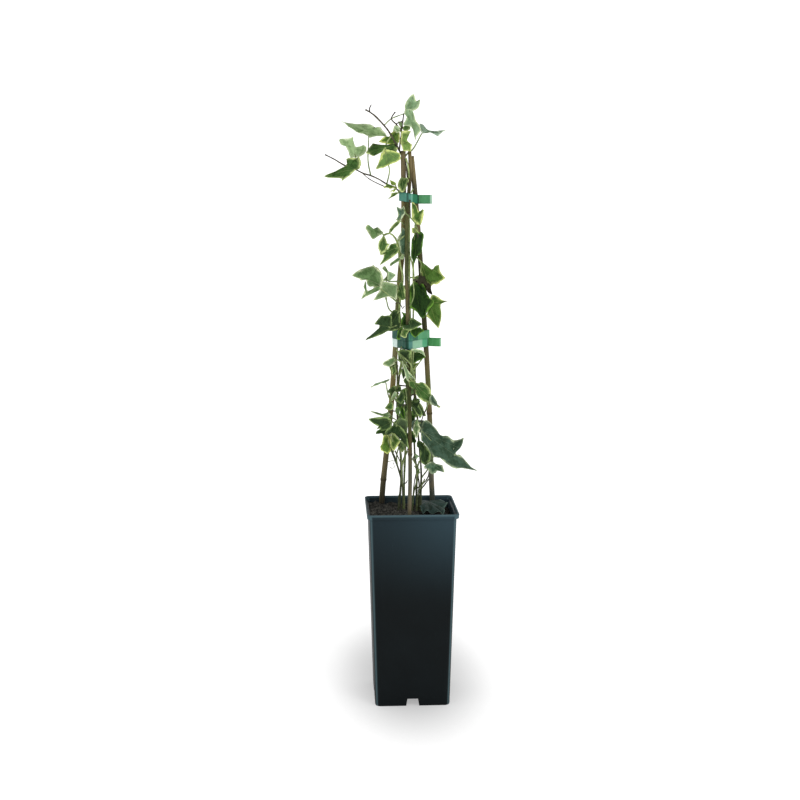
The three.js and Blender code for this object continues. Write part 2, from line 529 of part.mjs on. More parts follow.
      { base: [5, -12, 511], lobes: [[24, -21, 497], [16, -12, 512]], sides: [[[8, 510], [14, 506],
        [20, 498]], [[22, 502]], [[7, 513], [4, 510]]], middle: [14, 510] },
      { base: [4, -16, 508], lobes: [[-2, -20, 481], [10, -28, 470], [25, -24, 490], [8, -16, 510]],
        sides: [[[-2, 488]], [[4, 478]], [[14, 470], [16, 473], [17, 476], [25, 486]], [[22, 491],
        [20, 494], [18, 497], [15, 506], [12, 509]], [[4, 510], [-2, 506]]] },
      { base: [22, -4, 485], lobes: [[18, -6, 470], [32, -12, 456], [44, -8, 488]], sides: [[[22, 485]],
        [[22, 467]], [[34, 462], [36, 470], [35, 484]], [[38, 489], [30, 494], [24, 495]]]
        , middle: [28, 484] },
      { base: [0, -20, 467], lobes: [[-14, -26, 460], [-3, -27, 455], [12, -26, 462]], sides: [
        [[-10, 460]], [[-7, 455]], [[1, 456]], [[6, 466], [2, 468], [-2, 467], [-4, 464], [-4, 461]]] },
      { base: [5, -20, 459], lobes: [[4, -27, 446], [14, -26, 454]], sides: [[[-2, 451]], [[9, 451]],
        [[10, 458], [8, 458], [0, 455]]] },
      { base: [1, -22, 426], stalk: [[4, 0, 420], [4, -12, 421]], lobes: [[-1, -24, 416], [16, -27, 424]],
        sides: [[[-2, 423]], [[4, 417], [12, 421]], [[10, 430], [4, 431], [-1, 429]]] },
      { base: [0, -20, 410], lobes: [[8, -24, 416], [-4, -20, 417]], sides: [[[2, 404], [2, 408]],
        [[0, 415]], [[-5, 407], [-2, 402]]] },
      { base: [0, -3, 331], lobes: [[-7, -8, 326], [-3, -10, 314], [6, -8, 319]] },
      { base: [-1, 0, 373], lobes: [[-9, -3, 371], [-6, -5, 361], [2, -4, 363]] },
      { base: [2, -7, 418], lobes: [[-7, -12, 413], [-5, -14, 400], [3, -12, 404]] },
      { base: [-1, 0, 399], lobes: [[-9, -3, 393], [-5, -5, 381], [2, -4, 388]] },
      { base: [-2, -24, 430], lobes: [[0, -25, 433], [16, -28, 424]], sides: [[[-2, 430]], [[10, 432],
        [13, 430]], [[10, 428], [6, 429], [2, 429]]] },
    ],
  },
  vine_low: {
    stems: [
      { radius: 1.4, route: [[13, 12, 214], [13, 10, 250], [13, 3, 275], [11, -8, 300], [8, -14, 330],
        [6, -18, 366], [3, -24, 382], [2, -29, 392]] },
      { radius: 1, route: [[13, 5, 271], [20, -10, 285], [24, -24, 298], [24, -31, 308], [16, -33, 322],
        [11, -34, 336]] },
    ],
    leaves: [
      { base: [2, -29, 392], lobes: [[14, -34, 371], [33, -37, 365], [22, -31, 384]], sides: [[[-4, 390],
        [-2, 388], [4, 387], [4, 386], [4, 380], [10, 373]], [[18, 370], [22, 368], [26, 366], [28, 366],
        [31, 364]], [[29, 368], [24, 378], [22, 380]], [[18, 389], [15, 392], [10, 394], [6, 393],
        [-4, 396]]] },
      { base: [1, -20, 366], lobes: [[12, -28, 354], [10, -22, 370]], sides: [[[-1, 364], [2, 362],
        [6, 354], [10, 352]], [[11, 358], [7, 368]], [[4, 371], [-1, 370]]] },
      { base: [11, -34, 336], lobes: [[26, -42, 306], [76, -44, 289], [56, -41, 316], [60, -42, 329],
        [14, -30, 348]], sides: [[[10, 336], [10, 330], [10, 325], [12, 324], [24, 307]], [[30, 306],
        [47, 293], [58, 292], [70, 290]], [[69, 294], [56, 308], [52, 308], [50, 312], [48, 315],
        [49, 317], [52, 318]], [[58, 320]], [[56, 327], [52, 326], [48, 326], [41, 331], [37, 331],
        [32, 332], [28, 338], [18, 348]], [[12, 344]]] },
      { base: [14, -24, 321], lobes: [[6, -25, 316], [16, -28, 293]], sides: [[[6, 322]], [[10, 312],
        [10, 303], [12, 296]], [[20, 297], [22, 302], [22, 308], [14, 319], [10, 322]]] },
      { base: [22, -30, 297], lobes: [[23, -35, 284], [38, -37, 286], [36, -31, 294], [21, -30, 298],
        [15, -29, 289]], sides: [[[20, 287]], [[28, 285], [30, 288]], [], [[28, 296], [26, 298]],
        [[14, 293]], [[18, 291]]] },
      { base: [4, -22, 306], lobes: [[5, -24, 300], [9, -26, 304]] },
      { base: [3, -26, 344], lobes: [[1, -31, 333], [5, -32, 327], [10, -30, 338], [6, -26, 349]] },
      { base: [4, -12, 353], lobes: [[-3, -13, 351], [-5, -15, 340], [2, -15, 336]] },
      { base: [8, -13, 368], lobes: [[13, -14, 363], [17, -17, 352], [9, -16, 349]] },
      { base: [2, -27, 398], lobes: [[4, -28, 393], [2, -24, 406]], sides: [[], [], [[-1, 402], [-3, 398],
        [-1, 395]]] },
      { base: [13, 32, 236], stalk: [[13, 10, 246], [13, 22, 243]],
        lobes: [[14, -12, 233], [37, -30, 235], [47, 18, 237]] },
    ],
  },
};

// A point of the blade seen from the front, with a depth that follows those of its foot and tips
function onBlade({ base, lobes }, [x, z]) {
  let [depths, shares] = [0, 0];
  for (const [px, py, pz] of [base, ...lobes]) {
    const share = 1 / ((x - px) ** 2 + (z - pz) ** 2 + 4);
    depths += share * py;
    shares += share;
  }
  return v3([x, depths / shares, z]);
}

// The blade's edge as spokes from its foot: out to each lobe's tip, and back in between two of them
function bladeSpokes(leaf, full) {
  const { base, lobes, sides, cut = leafCut } = leaf;
  const tips = lobes.map((tip) => v3(tip).sub(v3(base)));
  if (sides) {
    const outline = sides.flatMap((side, i) => [
      ...side.map((point) => onBlade(leaf, point).sub(v3(base))),
      ...tips.slice(i, i + 1),
    ]);
    return outline.filter((spoke, i) => !outline[i - 1] || spoke.distanceTo(outline[i - 1]) > shortestSide);
  }
  const ahead = new THREE.Vector3();
  tips.forEach((tip) => ahead.add(tip));
  ahead.normalize();
  const sideOf = (tip) => {
    const inner = tip.clone().multiplyScalar(0.42).addScaledVector(ahead, -0.13 * tip.length());
    const outer = tip.clone().multiplyScalar(0.8).addScaledVector(ahead, -0.09 * tip.length());
    return full ? [inner, outer] : [inner.lerp(outer, 0.4)];
  };
  const spokes = [ahead.clone().multiplyScalar(-0.08 * tips[0].length()), ...sideOf(tips[0]), tips[0]];
  for (let i = 1; i < tips.length; i += 1) {
    const [left, right] = [tips[i - 1], tips[i]];
    const notch = left.clone().add(right).multiplyScalar(cut / 2);
    if (full) spokes.push(notch.clone().lerp(left, 0.6).multiplyScalar(1.07));
    spokes.push(notch);
    if (full) spokes.push(notch.clone().lerp(right, 0.6).multiplyScalar(1.07));
    spokes.push(right);
  }
  return spokes.concat(sideOf(tips[tips.length - 1]).reverse());
}

// The middle surface of a leaf: its edge, and a hub under which it arches. The edge is ring 1.
function leafForm(leaf) {
  const foot = v3(leaf.base);
  const arms = leaf.lobes.map((tip) => v3(tip).sub(foot));
  const length = Math.max(...arms.map((arm) => arm.length()));
  const spokes = bladeSpokes(leaf, length > lobedLeaf);
  const up = new THREE.Vector3();
  spokes.forEach((spoke, i) => up.add(spoke.clone().cross(spokes[(i + 1) % spokes.length])));
  up.normalize();
  const hub = new THREE.Vector3();
  if (leaf.middle) hub.copy(onBlade(leaf, leaf.middle).sub(foot));
  else if (leaf.sides) spokes.forEach((spoke) => hub.addScaledVector(spoke, 1 / spokes.length));
  else arms.forEach((arm) => hub.addScaledVector(arm, hubReach / arms.length));
  const placeAt = (spoke, ring) => spoke.clone().lerp(hub, 1 - ring)
    .addScaledVector(up, crown * length * (1 - ring * ring)).add(foot);
  return { spokes, hub, placeAt, rings: length > archedLeaf ? [0.5, 1] : [1] };
}

// A thin blade, with a middle ring on the large leaves: both faces have the same triangles
function makeBlade({ spokes, hub, placeAt, rings }) {
  const count = spokes.length;
  const middle = [placeAt(hub, 0), ...rings.flatMap((ring) => spokes.map((spoke) => placeAt(spoke, ring)))];
  const faces = [];
  for (let i = 0; i < count; i += 1) {
    const next = (i + 1) % count;
    faces.push([0, 1 + i, 1 + next]);
    for (let ring = 1; ring < rings.length; ring += 1) {
      const [near, far] = [1 + (ring - 1) * count, 1 + ring * count];
      faces.push([near + i, far + i, far + next], [near + i, far + next, near + next]);
    }
  }
  const normals = middle.map(() => new THREE.Vector3());
  for (const [a, b, c] of faces) {
    const across = middle[b].clone().sub(middle[a]).cross(middle[c].clone().sub(middle[a]));
    [a, b, c].forEach((corner) => normals[corner].add(across));
  }
  const position = [];
  for (const side of [0.5, -0.5]) {
    middle.forEach((p, i) => {
      const place = p.clone().addScaledVector(normals[i].normalize(), side * bladeThickness);
      position.push(place.x, place.y, place.z);
    });
  }
  const under = middle.length;
  const index = faces.flatMap(([a, b, c]) => [a, b, c, under + a, under + c, under + b]);
  const edge = 1 + (rings.length - 1) * count;
  for (let i = 0; i < count; i += 1) {
    const [a, b] = [edge + i, edge + (i + 1) % count];
    index.push(a, under + a, b, b, under + a, under + b);
  }
  const geometry = new THREE.BufferGeometry();
  geometry.setAttribute("position", new THREE.Float32BufferAttribute(position, 3));
  geometry.setIndex(index);
  return toSolid(geometry);
}

// A stalk from the nearest point of the stems, or along its given route, into the foot of the blade
function makeStalk({ base, stalk }, { spokes, placeAt }, paths) {
  const foot = v3(base);
  let route = stalk;
  if (!route) {
    const near = paths.flatMap((path) => path.getSpacedPoints(120));
    near.sort((a, b) => a.distanceTo(foot) - b.distanceTo(foot));
    route = [near[0].toArray()];
  }
  return tube([...route, base, placeAt(spokes[0], stalkRing).toArray()], stalkRadius, stalkSides, stemStep);
}

function makeVine({ stems, leaves }) {
  const paths = stems.map(({ route }) => new THREE.CatmullRomCurve3(route.map(v3)));
  const pieces = stems.map(({ route, radius }) => tube(route, radius, stemSides, stemStep));
  for (const leaf of leaves) {
    const form = leafForm(leaf);
    pieces.push(makeStalk(leaf, form, paths), makeBlade(form));
  }
  return wasm.Manifold.union(pieces);
}

// The finishes
const finish = (color, roughness) => new THREE.MeshStandardMaterial({ color, roughness, metalness: 0 });
const potPlastic = finish("#20292d", 0.5);
const compost = finish("#26221d", 1);
const bamboo = finish("#71604a", 0.7);
const tapeGreen = finish("#3f7f68", 0.45);
const ivyGreen = finish("#4a6b3d", 0.55);

const group = new THREE.Group();
group.add(toMesh("pot", makePot(), potPlastic));

let soil = makeSoilBlock();
let rigid = null;
for (const [name, cane] of Object.entries(canes)) {
  const clearance = makeCane(cane, gap);
  soil = soil.subtract(clearance);
  rigid = rigid ? rigid.add(clearance) : clearance;
  group.add(toMesh(name, makeCane(cane), bamboo));
}
for (const [name, tie] of Object.entries(ties)) {
  rigid = rigid.add(makeTie(tie, gap));
  group.add(toMesh(name, makeTie(tie), tapeGreen));
}
for (const [name, vine] of Object.entries(vines)) {
  for (const { route, radius } of vine.stems) soil = soil.subtract(tube(route, radius + gap, stemSides, stemStep));
  const grown = largestBody(makeVine(vine).subtract(rigid).simplify(mergeTolerance));
  group.add(toMesh(name, grown, ivyGreen));
}
group.add(toMesh("soil", soil, compost));

export default group;
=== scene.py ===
import random
from math import atan2, cos, exp, hypot, pi, radians, sin

import bmesh
import bpy
from mathutils import Matrix, Vector, noise


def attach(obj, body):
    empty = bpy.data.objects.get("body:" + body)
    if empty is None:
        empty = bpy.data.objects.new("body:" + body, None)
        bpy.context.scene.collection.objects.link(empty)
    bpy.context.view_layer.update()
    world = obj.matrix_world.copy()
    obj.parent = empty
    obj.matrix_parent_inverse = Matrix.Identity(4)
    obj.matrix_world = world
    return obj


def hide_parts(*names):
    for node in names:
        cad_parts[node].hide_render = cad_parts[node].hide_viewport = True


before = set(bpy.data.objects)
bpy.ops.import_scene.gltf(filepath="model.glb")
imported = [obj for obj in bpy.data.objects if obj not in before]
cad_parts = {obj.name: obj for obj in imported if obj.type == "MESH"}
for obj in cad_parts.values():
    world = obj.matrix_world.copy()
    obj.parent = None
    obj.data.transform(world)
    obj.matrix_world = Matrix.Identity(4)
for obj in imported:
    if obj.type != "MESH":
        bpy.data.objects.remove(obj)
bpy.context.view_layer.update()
print("frame loaded:", sorted(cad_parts))

# Shapes are drawn in millimetres and scaled to metres as each piece is finished.
mm = 0.001

# The offsets behind the noise are random too, so they get a fixed start.
noise.seed_set(7)


# Making pieces

def toObject(name, bm):
    mesh = bpy.data.meshes.new(name)
    bm.to_mesh(mesh)
    bm.free()
    made = bpy.data.objects.new(name, mesh)
    bpy.context.collection.objects.link(made)
    return made


def finishPiece(name, bm, materials, nodes=()):
    bm.transform(Matrix.Scale(mm, 4))
    piece = toObject(name, bm)
    for material in materials:
        piece.data.materials.append(material)
    piece.data.shade_smooth()
    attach(piece, "root")
    if nodes:
        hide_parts(*nodes)
    print("made", name, len(piece.data.polygons), "faces")
    return piece


# Makes a sheet thick, half to each side. Its lower face takes the material so many slots further on.
def thicken(piece, thickness, under=0):
    wall = piece.modifiers.new("thickness", "SOLIDIFY")
    wall.thickness = thickness * mm
    wall.offset = 0
    wall.material_offset = under


# Every item once, in the order of its first turn.
def once(items):
    return list(dict.fromkeys(items))


# Draws edges out into a new row of faces, and gives the new points, edges and faces.
def drawOut(bm, edges):
    made = bmesh.ops.extrude_edge_only(bm, edges=edges)["geom"]
    kinds = (bmesh.types.BMVert, bmesh.types.BMEdge, bmesh.types.BMFace)
    return [[part for part in made if isinstance(part, kind)] for kind in kinds]


# A point on the smooth curve through points a, b, c, d, between b and c.
def curvePoint(a, b, c, d, t, startPull=0.5, endPull=0.5):
    m1 = (c - a) * startPull
    m2 = (d - b) * endPull
    return (b * (2 * t ** 3 - 3 * t ** 2 + 1) + m1 * (t ** 3 - 2 * t ** 2 + t)
            + c * (3 * t ** 2 - 2 * t ** 3) + m2 * (t ** 3 - t ** 2))


# Evenly spaced points along the smooth curve through a route.
def smoothRoute(route, step):
    pts = [Vector(p) for p in route]
    if len(pts) == 2:
        pts.insert(1, (pts[0] + pts[1]) / 2)
    ends = [2 * pts[0] - pts[1], *pts, 2 * pts[-1] - pts[-2]]
    out = [pts[0]]
    for i in range(1, len(ends) - 2):
        count = max(1, round((ends[i + 1] - ends[i]).length / step))
        for k in range(1, count + 1):
            out.append(curvePoint(*ends[i - 1:i + 3], k / count))
    return out


# A tube drawn out ring by ring along the points; radiusAt takes the share of the way from 0 to 1.
def drawTube(bm, points, radiusAt, sides, material=0):
    direction = (points[1] - points[0]).normalized()
    turn = direction.to_track_quat("Z", "Y").to_matrix().to_4x4()
    oldRadius = radiusAt(0)
    place = Matrix.Translation(points[0]) @ turn @ Matrix.Scale(oldRadius, 4)
    ring = bmesh.ops.create_circle(bm, cap_ends=True, segments=sides, radius=1, matrix=place)["verts"]
    edges = once(e for v in ring for e in v.link_edges if all(w in ring for w in e.verts))
    startFace = edges[0].link_faces[0]
    startFace.normal_flip()
    faces = [startFace]
    for i in range(1, len(points)):
        ahead = points[min(i + 1, len(points) - 1)] - points[i - 1]
        newDirection = ahead.normalized()
        bend = direction.rotation_difference(newDirection).to_matrix().to_4x4()
        radius = radiusAt(i / (len(points) - 1))
        ring, edges, newFaces = drawOut(bm, edges)
        faces += newFaces
        move = (Matrix.Translation(points[i]) @ bend @ Matrix.Scale(radius / oldRadius, 4)
                @ Matrix.Translation(-points[i - 1]))
        bmesh.ops.transform(bm, matrix=move, verts=ring)
        direction, oldRadius = newDirection, radius
    faces += bmesh.ops.contextual_create(bm, geom=edges)["faces"]
    for face in faces:
        face.material_index = material
    return faces


# Materials

def hexColor(code):
    parts = [int(code[i:i + 2], 16) / 255 for i in (1, 3, 5)]
    return (*[((p + 0.055) / 1.055) ** 2.4 if p > 0.04045 else p / 12.92 for p in parts], 1)


class Shader:
    # A small helper that adds nodes and links them by value or by socket.
    def __init__(self, name):
        self.material = bpy.data.materials.new(name)
        self.material.use_nodes = True
        self.tree = self.material.node_tree
        self.bsdf = self.tree.nodes["Principled BSDF"]

    def put(self, kind, inputs=None, **settings):
        node = self.tree.nodes.new(kind)
        for key, value in settings.items():
            setattr(node, key, value)
        for key, value in (inputs or {}).items():
            self.join(node.inputs[key], value)
        return node

    def join(self, socket, value):
        if isinstance(value, bpy.types.NodeSocket):
            self.tree.links.new(value, socket)
        else:
            socket.default_value = value

    def place(self):
        return self.put("ShaderNodeTexCoord").outputs["Object"]

    def attribute(self, name):
        return self.put("ShaderNodeAttribute", attribute_name=name)

    def math(self, operation, a, b=0.0, c=0.0):
        return self.put("ShaderNodeMath", {0: a, 1: b, 2: c}, operation=operation).outputs[0]

    def noise(self, place, scale, detail=2.0, roughness=0.5):
        inputs = {"Vector": place, "Scale": scale, "Detail": detail, "Roughness": roughness}
        return self.put("ShaderNodeTexNoise", inputs).outputs["Fac"]

    def stretch(self, place, x, y, z):
        return self.put("ShaderNodeMapping", {"Vector": place, "Scale": (x, y, z)}).outputs[0]

    def split(self, place):
        return self.put("ShaderNodeSeparateXYZ", {0: place}).outputs

    # From 0 below low to 1 above high.
    def step(self, value, low, high):
        node = self.put("ShaderNodeMapRange", {"Value": value, "From Min": low, "From Max": high},
                        interpolation_type="SMOOTHSTEP")
        return node.outputs["Result"]

    # From 1 below low to 0 above high.
    def fall(self, value, low, high):
        return self.math("SUBTRACT", 1.0, self.step(value, low, high))

    def mix(self, share, first, second, blend="MIX"):
        node = self.put("ShaderNodeMix", data_type="RGBA", blend_type=blend)
        for key, value in ((0, share), (6, first), (7, second)):
            self.join(node.inputs[key], value)
        return node.outputs[2]

    # Lays a second colour over a first one, as much as the mask says times the strength.
    def lay(self, first, mask, strength, second):
        over = hexColor(second) if isinstance(second, str) else second
        return self.mix(self.math("MULTIPLY", mask, strength), first, over)

    def bump(self, height, distance):
        node = self.put("ShaderNodeBump", {"Height": height, "Distance": distance})
        self.join(self.bsdf.inputs["Normal"], node.outputs[0])

    def finish(self, **sockets):
        names = {"color": "Base Color", "roughness": "Roughness", "specular": "Specular IOR Level",
                 "emission": "Emission Color", "glow": "Emission Strength"}
        for key, value in sockets.items():
            self.join(self.bsdf.inputs[names[key]], value)
        return self.material


# Camera, light and floor

camera = {
    "place": (-95, -1557, 592),
    "target": (-13.1, 0, 368.4),
    "lens": 58.77,
    "sensor": 36,
}


# Puts a camera or a lamp in its place and turns it towards its target.
def aimed(name, data, place, target):
    rig = bpy.data.objects.new(name, data)
    rig.location = place
    rig.rotation_mode = "QUATERNION"
    rig.rotation_quaternion = (Vector(target) - Vector(place)).to_track_quat("-Z", "Y")
    bpy.context.collection.objects.link(rig)
    return rig


def makeCamera():
    data = bpy.data.cameras.new("photoCamera")
    data.sensor_width = camera["sensor"]
    data.lens = camera["lens"]
    place, target = Vector(camera["place"]) * mm, Vector(camera["target"]) * mm
    bpy.context.scene.camera = aimed("photoCamera", data, place, target)


# Places and sizes in metres, power in watts
lamps = {
    "key": {"place": (1.15, -1.6, 1.75), "target": (0, 0, 0.35), "size": 0.9, "power": 14},
    "fill": {"place": (-1.5, -1.3, 0.9), "target": (0, 0, 0.4), "size": 1.4, "power": 1.5},
}
skyStrength = 0.2


def makeLamps():
    for name, lamp in lamps.items():
        data = bpy.data.lights.new(name, "AREA")
        data.size = lamp["size"]
        data.energy = lamp["power"]
        aimed(name, data, lamp["place"], lamp["target"])
    world = bpy.data.worlds.new("studio")
    world.use_nodes = True
    sky = world.node_tree.nodes["Background"].inputs
    sky["Color"].default_value = (1, 1, 1, 1)
    sky["Strength"].default_value = skyStrength
    bpy.context.scene.world = world
    bpy.context.scene.view_settings.view_transform = "Standard"


# Sizes in metres. The glow is that at the pot's foot, round it, and far from it, and grows over the two
# given stretches, measured from the middle of the painted shadow.
studio = {
    "radius": 3.2, "bend": 1.2, "wall": 3.0, "sides": 72, "flatRings": 8, "bendRings": 10,
    "paintedShadowMiddle": (-0.003, -0.03, 0), "paintedShadowStretch": (1, 0.42, 1),
    "glow": (0.38, 0.76, 0.98), "nearGrowth": (0.035, 0.12), "farGrowth": (0.07, 0.25),
    "tones": ("#9a9a9a", "#a2a2a2"),
}


# The floor curves up into a round wall. It glows, so that it is near white, and glows less round the foot
# of the pot, which paints a soft shadow on it there.
def makeFloor():
    bm = bmesh.new()
    flat, bend = studio["radius"] - studio["bend"], studio["bend"]
    profile = [(flat * k / studio["flatRings"], 0) for k in range(1, studio["flatRings"] + 1)]
    for k in range(1, studio["bendRings"] + 1):
        a = pi / 2 * k / studio["bendRings"]
        profile.append((flat + bend * sin(a), bend - bend * cos(a)))
    profile.append((studio["radius"], studio["wall"]))
    bmesh.ops.create_circle(bm, cap_ends=True, segments=studio["sides"], radius=profile[0][0])
    edges = [e for e in bm.edges if e.is_boundary]
    last = profile[0][0]
    for reach, height in profile[1:]:
        ring, edges, _ = drawOut(bm, edges)
        for vert in ring:
            vert.co = Vector((vert.co.x * reach / last, vert.co.y * reach / last, height))
        last = reach
    bmesh.ops.recalc_face_normals(bm, faces=bm.faces)
    if sum(f.normal.z * f.calc_area() for f in bm.faces) < 0:
        bmesh.ops.reverse_faces(bm, faces=bm.faces)
    floor = toObject("floor", bm)
    floor.data.shade_smooth()
    floor.data.materials.append(floorMaterial())


def floorMaterial():
    shade = Shader("paleFloorWithPaintedShadow")
    place = shade.place()
    tone = shade.mix(shade.noise(place, 3.0), *[hexColor(code) for code in studio["tones"]])
    shifted = shade.put("ShaderNodeMapping", {"Vector": place, "Location": studio["paintedShadowMiddle"],
                                              "Scale": studio["paintedShadowStretch"]}).outputs[0]
    reach = shade.put("ShaderNodeVectorMath", {0: shifted}, operation="LENGTH").outputs["Value"]
    near, middle, far = studio["glow"]
    # painted shadow: the glow is least at the pot's foot and rises outwards over the two stretches
    glow = shade.math("MULTIPLY_ADD", shade.step(reach, *studio["nearGrowth"]), middle - near, near)
    glow = shade.math("MULTIPLY_ADD", shade.step(reach, *studio["farGrowth"]), far - middle, glow)
    return shade.finish(color=tone, roughness=0.9, specular=0.1, emission=(1, 1, 1, 1), glow=glow)


makeCamera()
makeLamps()
makeFloor()
print("camera, lamps and floor ready")


# The pot

pot = {
    "shoulder": 233, "shoulderWidth": 104, "footWidth": 90.6, "wall": 1.6, "corner": 7,
    "cornerSteps": 8, "sideSteps": 6, "sharpAngle": 38,
    "outside": (14, 40, 80, 120, 160, 200, 224, 232), "inside": (234, 205, 160, 110, 60, 20, 3.4),
    # the rings of the rim, up its outside and down its inside: width, how much tighter the corners, height
    "rim": [(108.2, 0, 233), (109.1, 0, 233.4), (109.4, 0, 234.2), (110, 0, 237.9), (109.7, 0.15, 238.6),
            (109, 0.5, 238.95), (107.9, 1, 239), (107.2, 1.4, 238.8), (106.8, 1.6, 238.2), (106, 1.6, 235.2),
            (105.2, 1.6, 234.7), (101.8, 1.6, 234.6)],
    # the two channels that cross under the floor, and the round pad where they meet
    "channelHeight": 9.3, "channelFoot": 16.5, "channelRoof": 13, "channelLength": 89, "channelCut": 130,
    "padRadius": 13, "drainRadius": 3, "channelDrain": 27, "cornerDrain": 25,
}


def wallWidthAt(z):
    return pot["footWidth"] + (pot["shoulderWidth"] - pot["footWidth"]) * z / pot["shoulder"]


# The points of a square with rounded corners, and of its flat sides
def squareRing(width, radius):
    reach = width / 2 - radius
    points = []
    for quarter in range(4):
        turn = Matrix.Rotation(quarter * pi / 2, 3, "Z")
        for k in range(pot["cornerSteps"] + 1):
            a = pi / 2 * k / pot["cornerSteps"]
            points.append(turn @ Vector((reach + radius * cos(a), reach + radius * sin(a), 0)))
        for k in range(1, pot["sideSteps"]):
            points.append(turn @ Vector((reach - 2 * reach * k / pot["sideSteps"], reach + radius, 0)))
    return points


def addRing(bm, width, radius, z):
    places = squareRing(width, radius)
    ring = bmesh.ops.create_circle(bm, segments=len(places), radius=1)["verts"]
    for vert, place in zip(ring, places):
        vert.co = Vector((place.x, place.y, z))
    return once(e for v in ring for e in v.link_edges)


# The wall ring by ring: the rounded edge of the foot, the outside, the rim, the inside and the floor
def makePotShell(bm):
    radius, wall, foot = pot["corner"], pot["wall"], pot["footWidth"]
    profile = [(foot - 2.4, radius - 1.2, 0), (foot - 0.7, radius - 0.3, 0.35), (foot, radius, 1.2)]
    profile += [(wallWidthAt(z), radius, z) for z in pot["outside"]]
    profile += [(pot["shoulderWidth"] + 0.9, radius, pot["shoulder"] - 0.25)]
    profile += [(width, radius - tighter, z) for width, tighter, z in pot["rim"]]
    profile += [(wallWidthAt(z) - 2 * wall, radius - wall, z) for z in pot["inside"]]
    profile += [(foot - 2 * wall - 2, radius - wall - 1, 1.9)]
    last = addRing(bm, *profile[0])
    bmesh.ops.contextual_create(bm, geom=last)
    for place in profile[1:]:
        ring = addRing(bm, *place)
        bmesh.ops.bridge_loops(bm, edges=last + ring)
        last = ring
    bmesh.ops.contextual_create(bm, geom=last)


# A bar with sloping sides that runs across under the pot, and the same bar crossing it
def makeCrossBars(bm, grow, low, roof, length):
    for quarter in (0, 1):
        made = bmesh.ops.create_cube(bm, size=1)["verts"]
        for vert in made:
            half = (pot["channelRoof"] if vert.co.z > 0 else pot["channelFoot"]) / 2 + grow
            vert.co = Vector((length * vert.co.x, 2 * half * vert.co.y, roof if vert.co.z > 0 else low))
        bmesh.ops.rotate(bm, verts=made, cent=(0, 0, 0), matrix=Matrix.Rotation(quarter * pi / 2, 3, "Z"))


def toolObject(fill):
    bm = bmesh.new()
    fill(bm)
    bmesh.ops.recalc_face_normals(bm, faces=bm.faces)
    return toObject("tool", bm)


def addPost(bm, radius, low, high, x=0.0, y=0.0):
    bmesh.ops.create_cone(bm, cap_ends=True, segments=24, radius1=radius, radius2=radius, depth=high - low,
                          matrix=Matrix.Translation((x, y, (low + high) / 2)))


# A drain hole in each arm of the channels, and one in each corner of the floor
def fillDrains(bm):
    for k in range(4):
        turn = Matrix.Rotation(k * pi / 2, 3, "Z")
        arm = turn @ Vector((pot["channelDrain"], 0, 0))
        pad = turn @ Vector((pot["cornerDrain"], pot["cornerDrain"], 0))
        addPost(bm, pot["drainRadius"], -2, 14, arm.x, arm.y)
        addPost(bm, pot["drainRadius"], -2, 5, pad.x, pad.y)


def makePotPiece(material):
    shell = toolObject(makePotShell)
    roof, wall = pot["channelHeight"], pot["wall"]
    steps = [
        ("UNION", lambda bm: makeCrossBars(bm, wall, 0.3, roof + wall, pot["channelLength"])),
        ("DIFFERENCE", lambda bm: makeCrossBars(bm, 0, -2, roof, pot["channelCut"])),
        ("UNION", lambda bm: addPost(bm, pot["padRadius"], 0, roof + 1)),
        ("DIFFERENCE", fillDrains),
    ]
    for operation, fill in steps:
        tool = toolObject(fill)
        cut = shell.modifiers.new("cut", "BOOLEAN")
        cut.operation = operation
        cut.solver = "EXACT"
        cut.object = tool
        cut.use_self = True
        graph = bpy.context.evaluated_depsgraph_get()
        mesh = bpy.data.meshes.new_from_object(shell.evaluated_get(graph))
        shell.modifiers.clear()
        shell.data = mesh
        bpy.data.objects.remove(tool)
    bm = bmesh.new()
    bm.from_mesh(shell.data)
    bpy.data.objects.remove(shell)
    bmesh.ops.remove_doubles(bm, verts=bm.verts, dist=0.001)
    piece = finishPiece("potShell", bm, [material], ["pot"])
    piece.data.set_sharp_from_angle(angle=radians(pot["sharpAngle"]))


def potMaterial():
    shade = Shader("slatePlastic")
    place = shade.place()
    across, deep, height = shade.split(place)
    # painted light: near black low down and lighter high up towards the right, a painted shade below and a
    # painted sheen above
    right = shade.math("MULTIPLY_ADD", shade.step(across, -0.05, 0.06), 0.6, 0.4)
    lift = shade.math("MULTIPLY", shade.step(height, 0.12, 0.26), right)
    tone = shade.mix(lift, hexColor("#05090a"), hexColor("#293b43"))
    cloudy = shade.noise(place, 26, 3.0, 0.55)
    tone = shade.lay(tone, cloudy, 0.08, "#2f3c42")
    worn = shade.step(shade.noise(shade.stretch(place, 1, 1, 0.12), 520, 4.0, 0.7), 0.62, 0.8)
    tone = shade.lay(tone, worn, 0.1, "#4a585e")
    dust = shade.step(shade.noise(place, 1500, 2.0, 0.6), 0.66, 0.78)
    tone = shade.lay(tone, dust, 0.06, "#7b8388")
    # painted highlights: the paler corners, which lean out with the walls, and the paler brim
    reach = shade.math("MINIMUM", shade.math("ABSOLUTE", across), shade.math("ABSOLUTE", deep))
    corner = shade.step(shade.math("MULTIPLY_ADD", height, -0.0285, reach), 0.0411, 0.0432)
    paintedBrimHighlight = shade.step(height, 0.2355, 0.238)
    tone = shade.lay(tone, shade.math("MAXIMUM", corner, paintedBrimHighlight), 0.5, "#516a70")
    rough = shade.math("MULTIPLY_ADD", cloudy, 0.14, 0.42)
    grain = shade.math("MULTIPLY", shade.noise(place, 900, 3.0, 0.6), 0.5)
    shade.bump(shade.math("MULTIPLY_ADD", worn, -0.6, grain), 0.00006)
    return shade.finish(color=tone, roughness=rough, specular=0.08)


makePotPiece(potMaterial())


# The compost

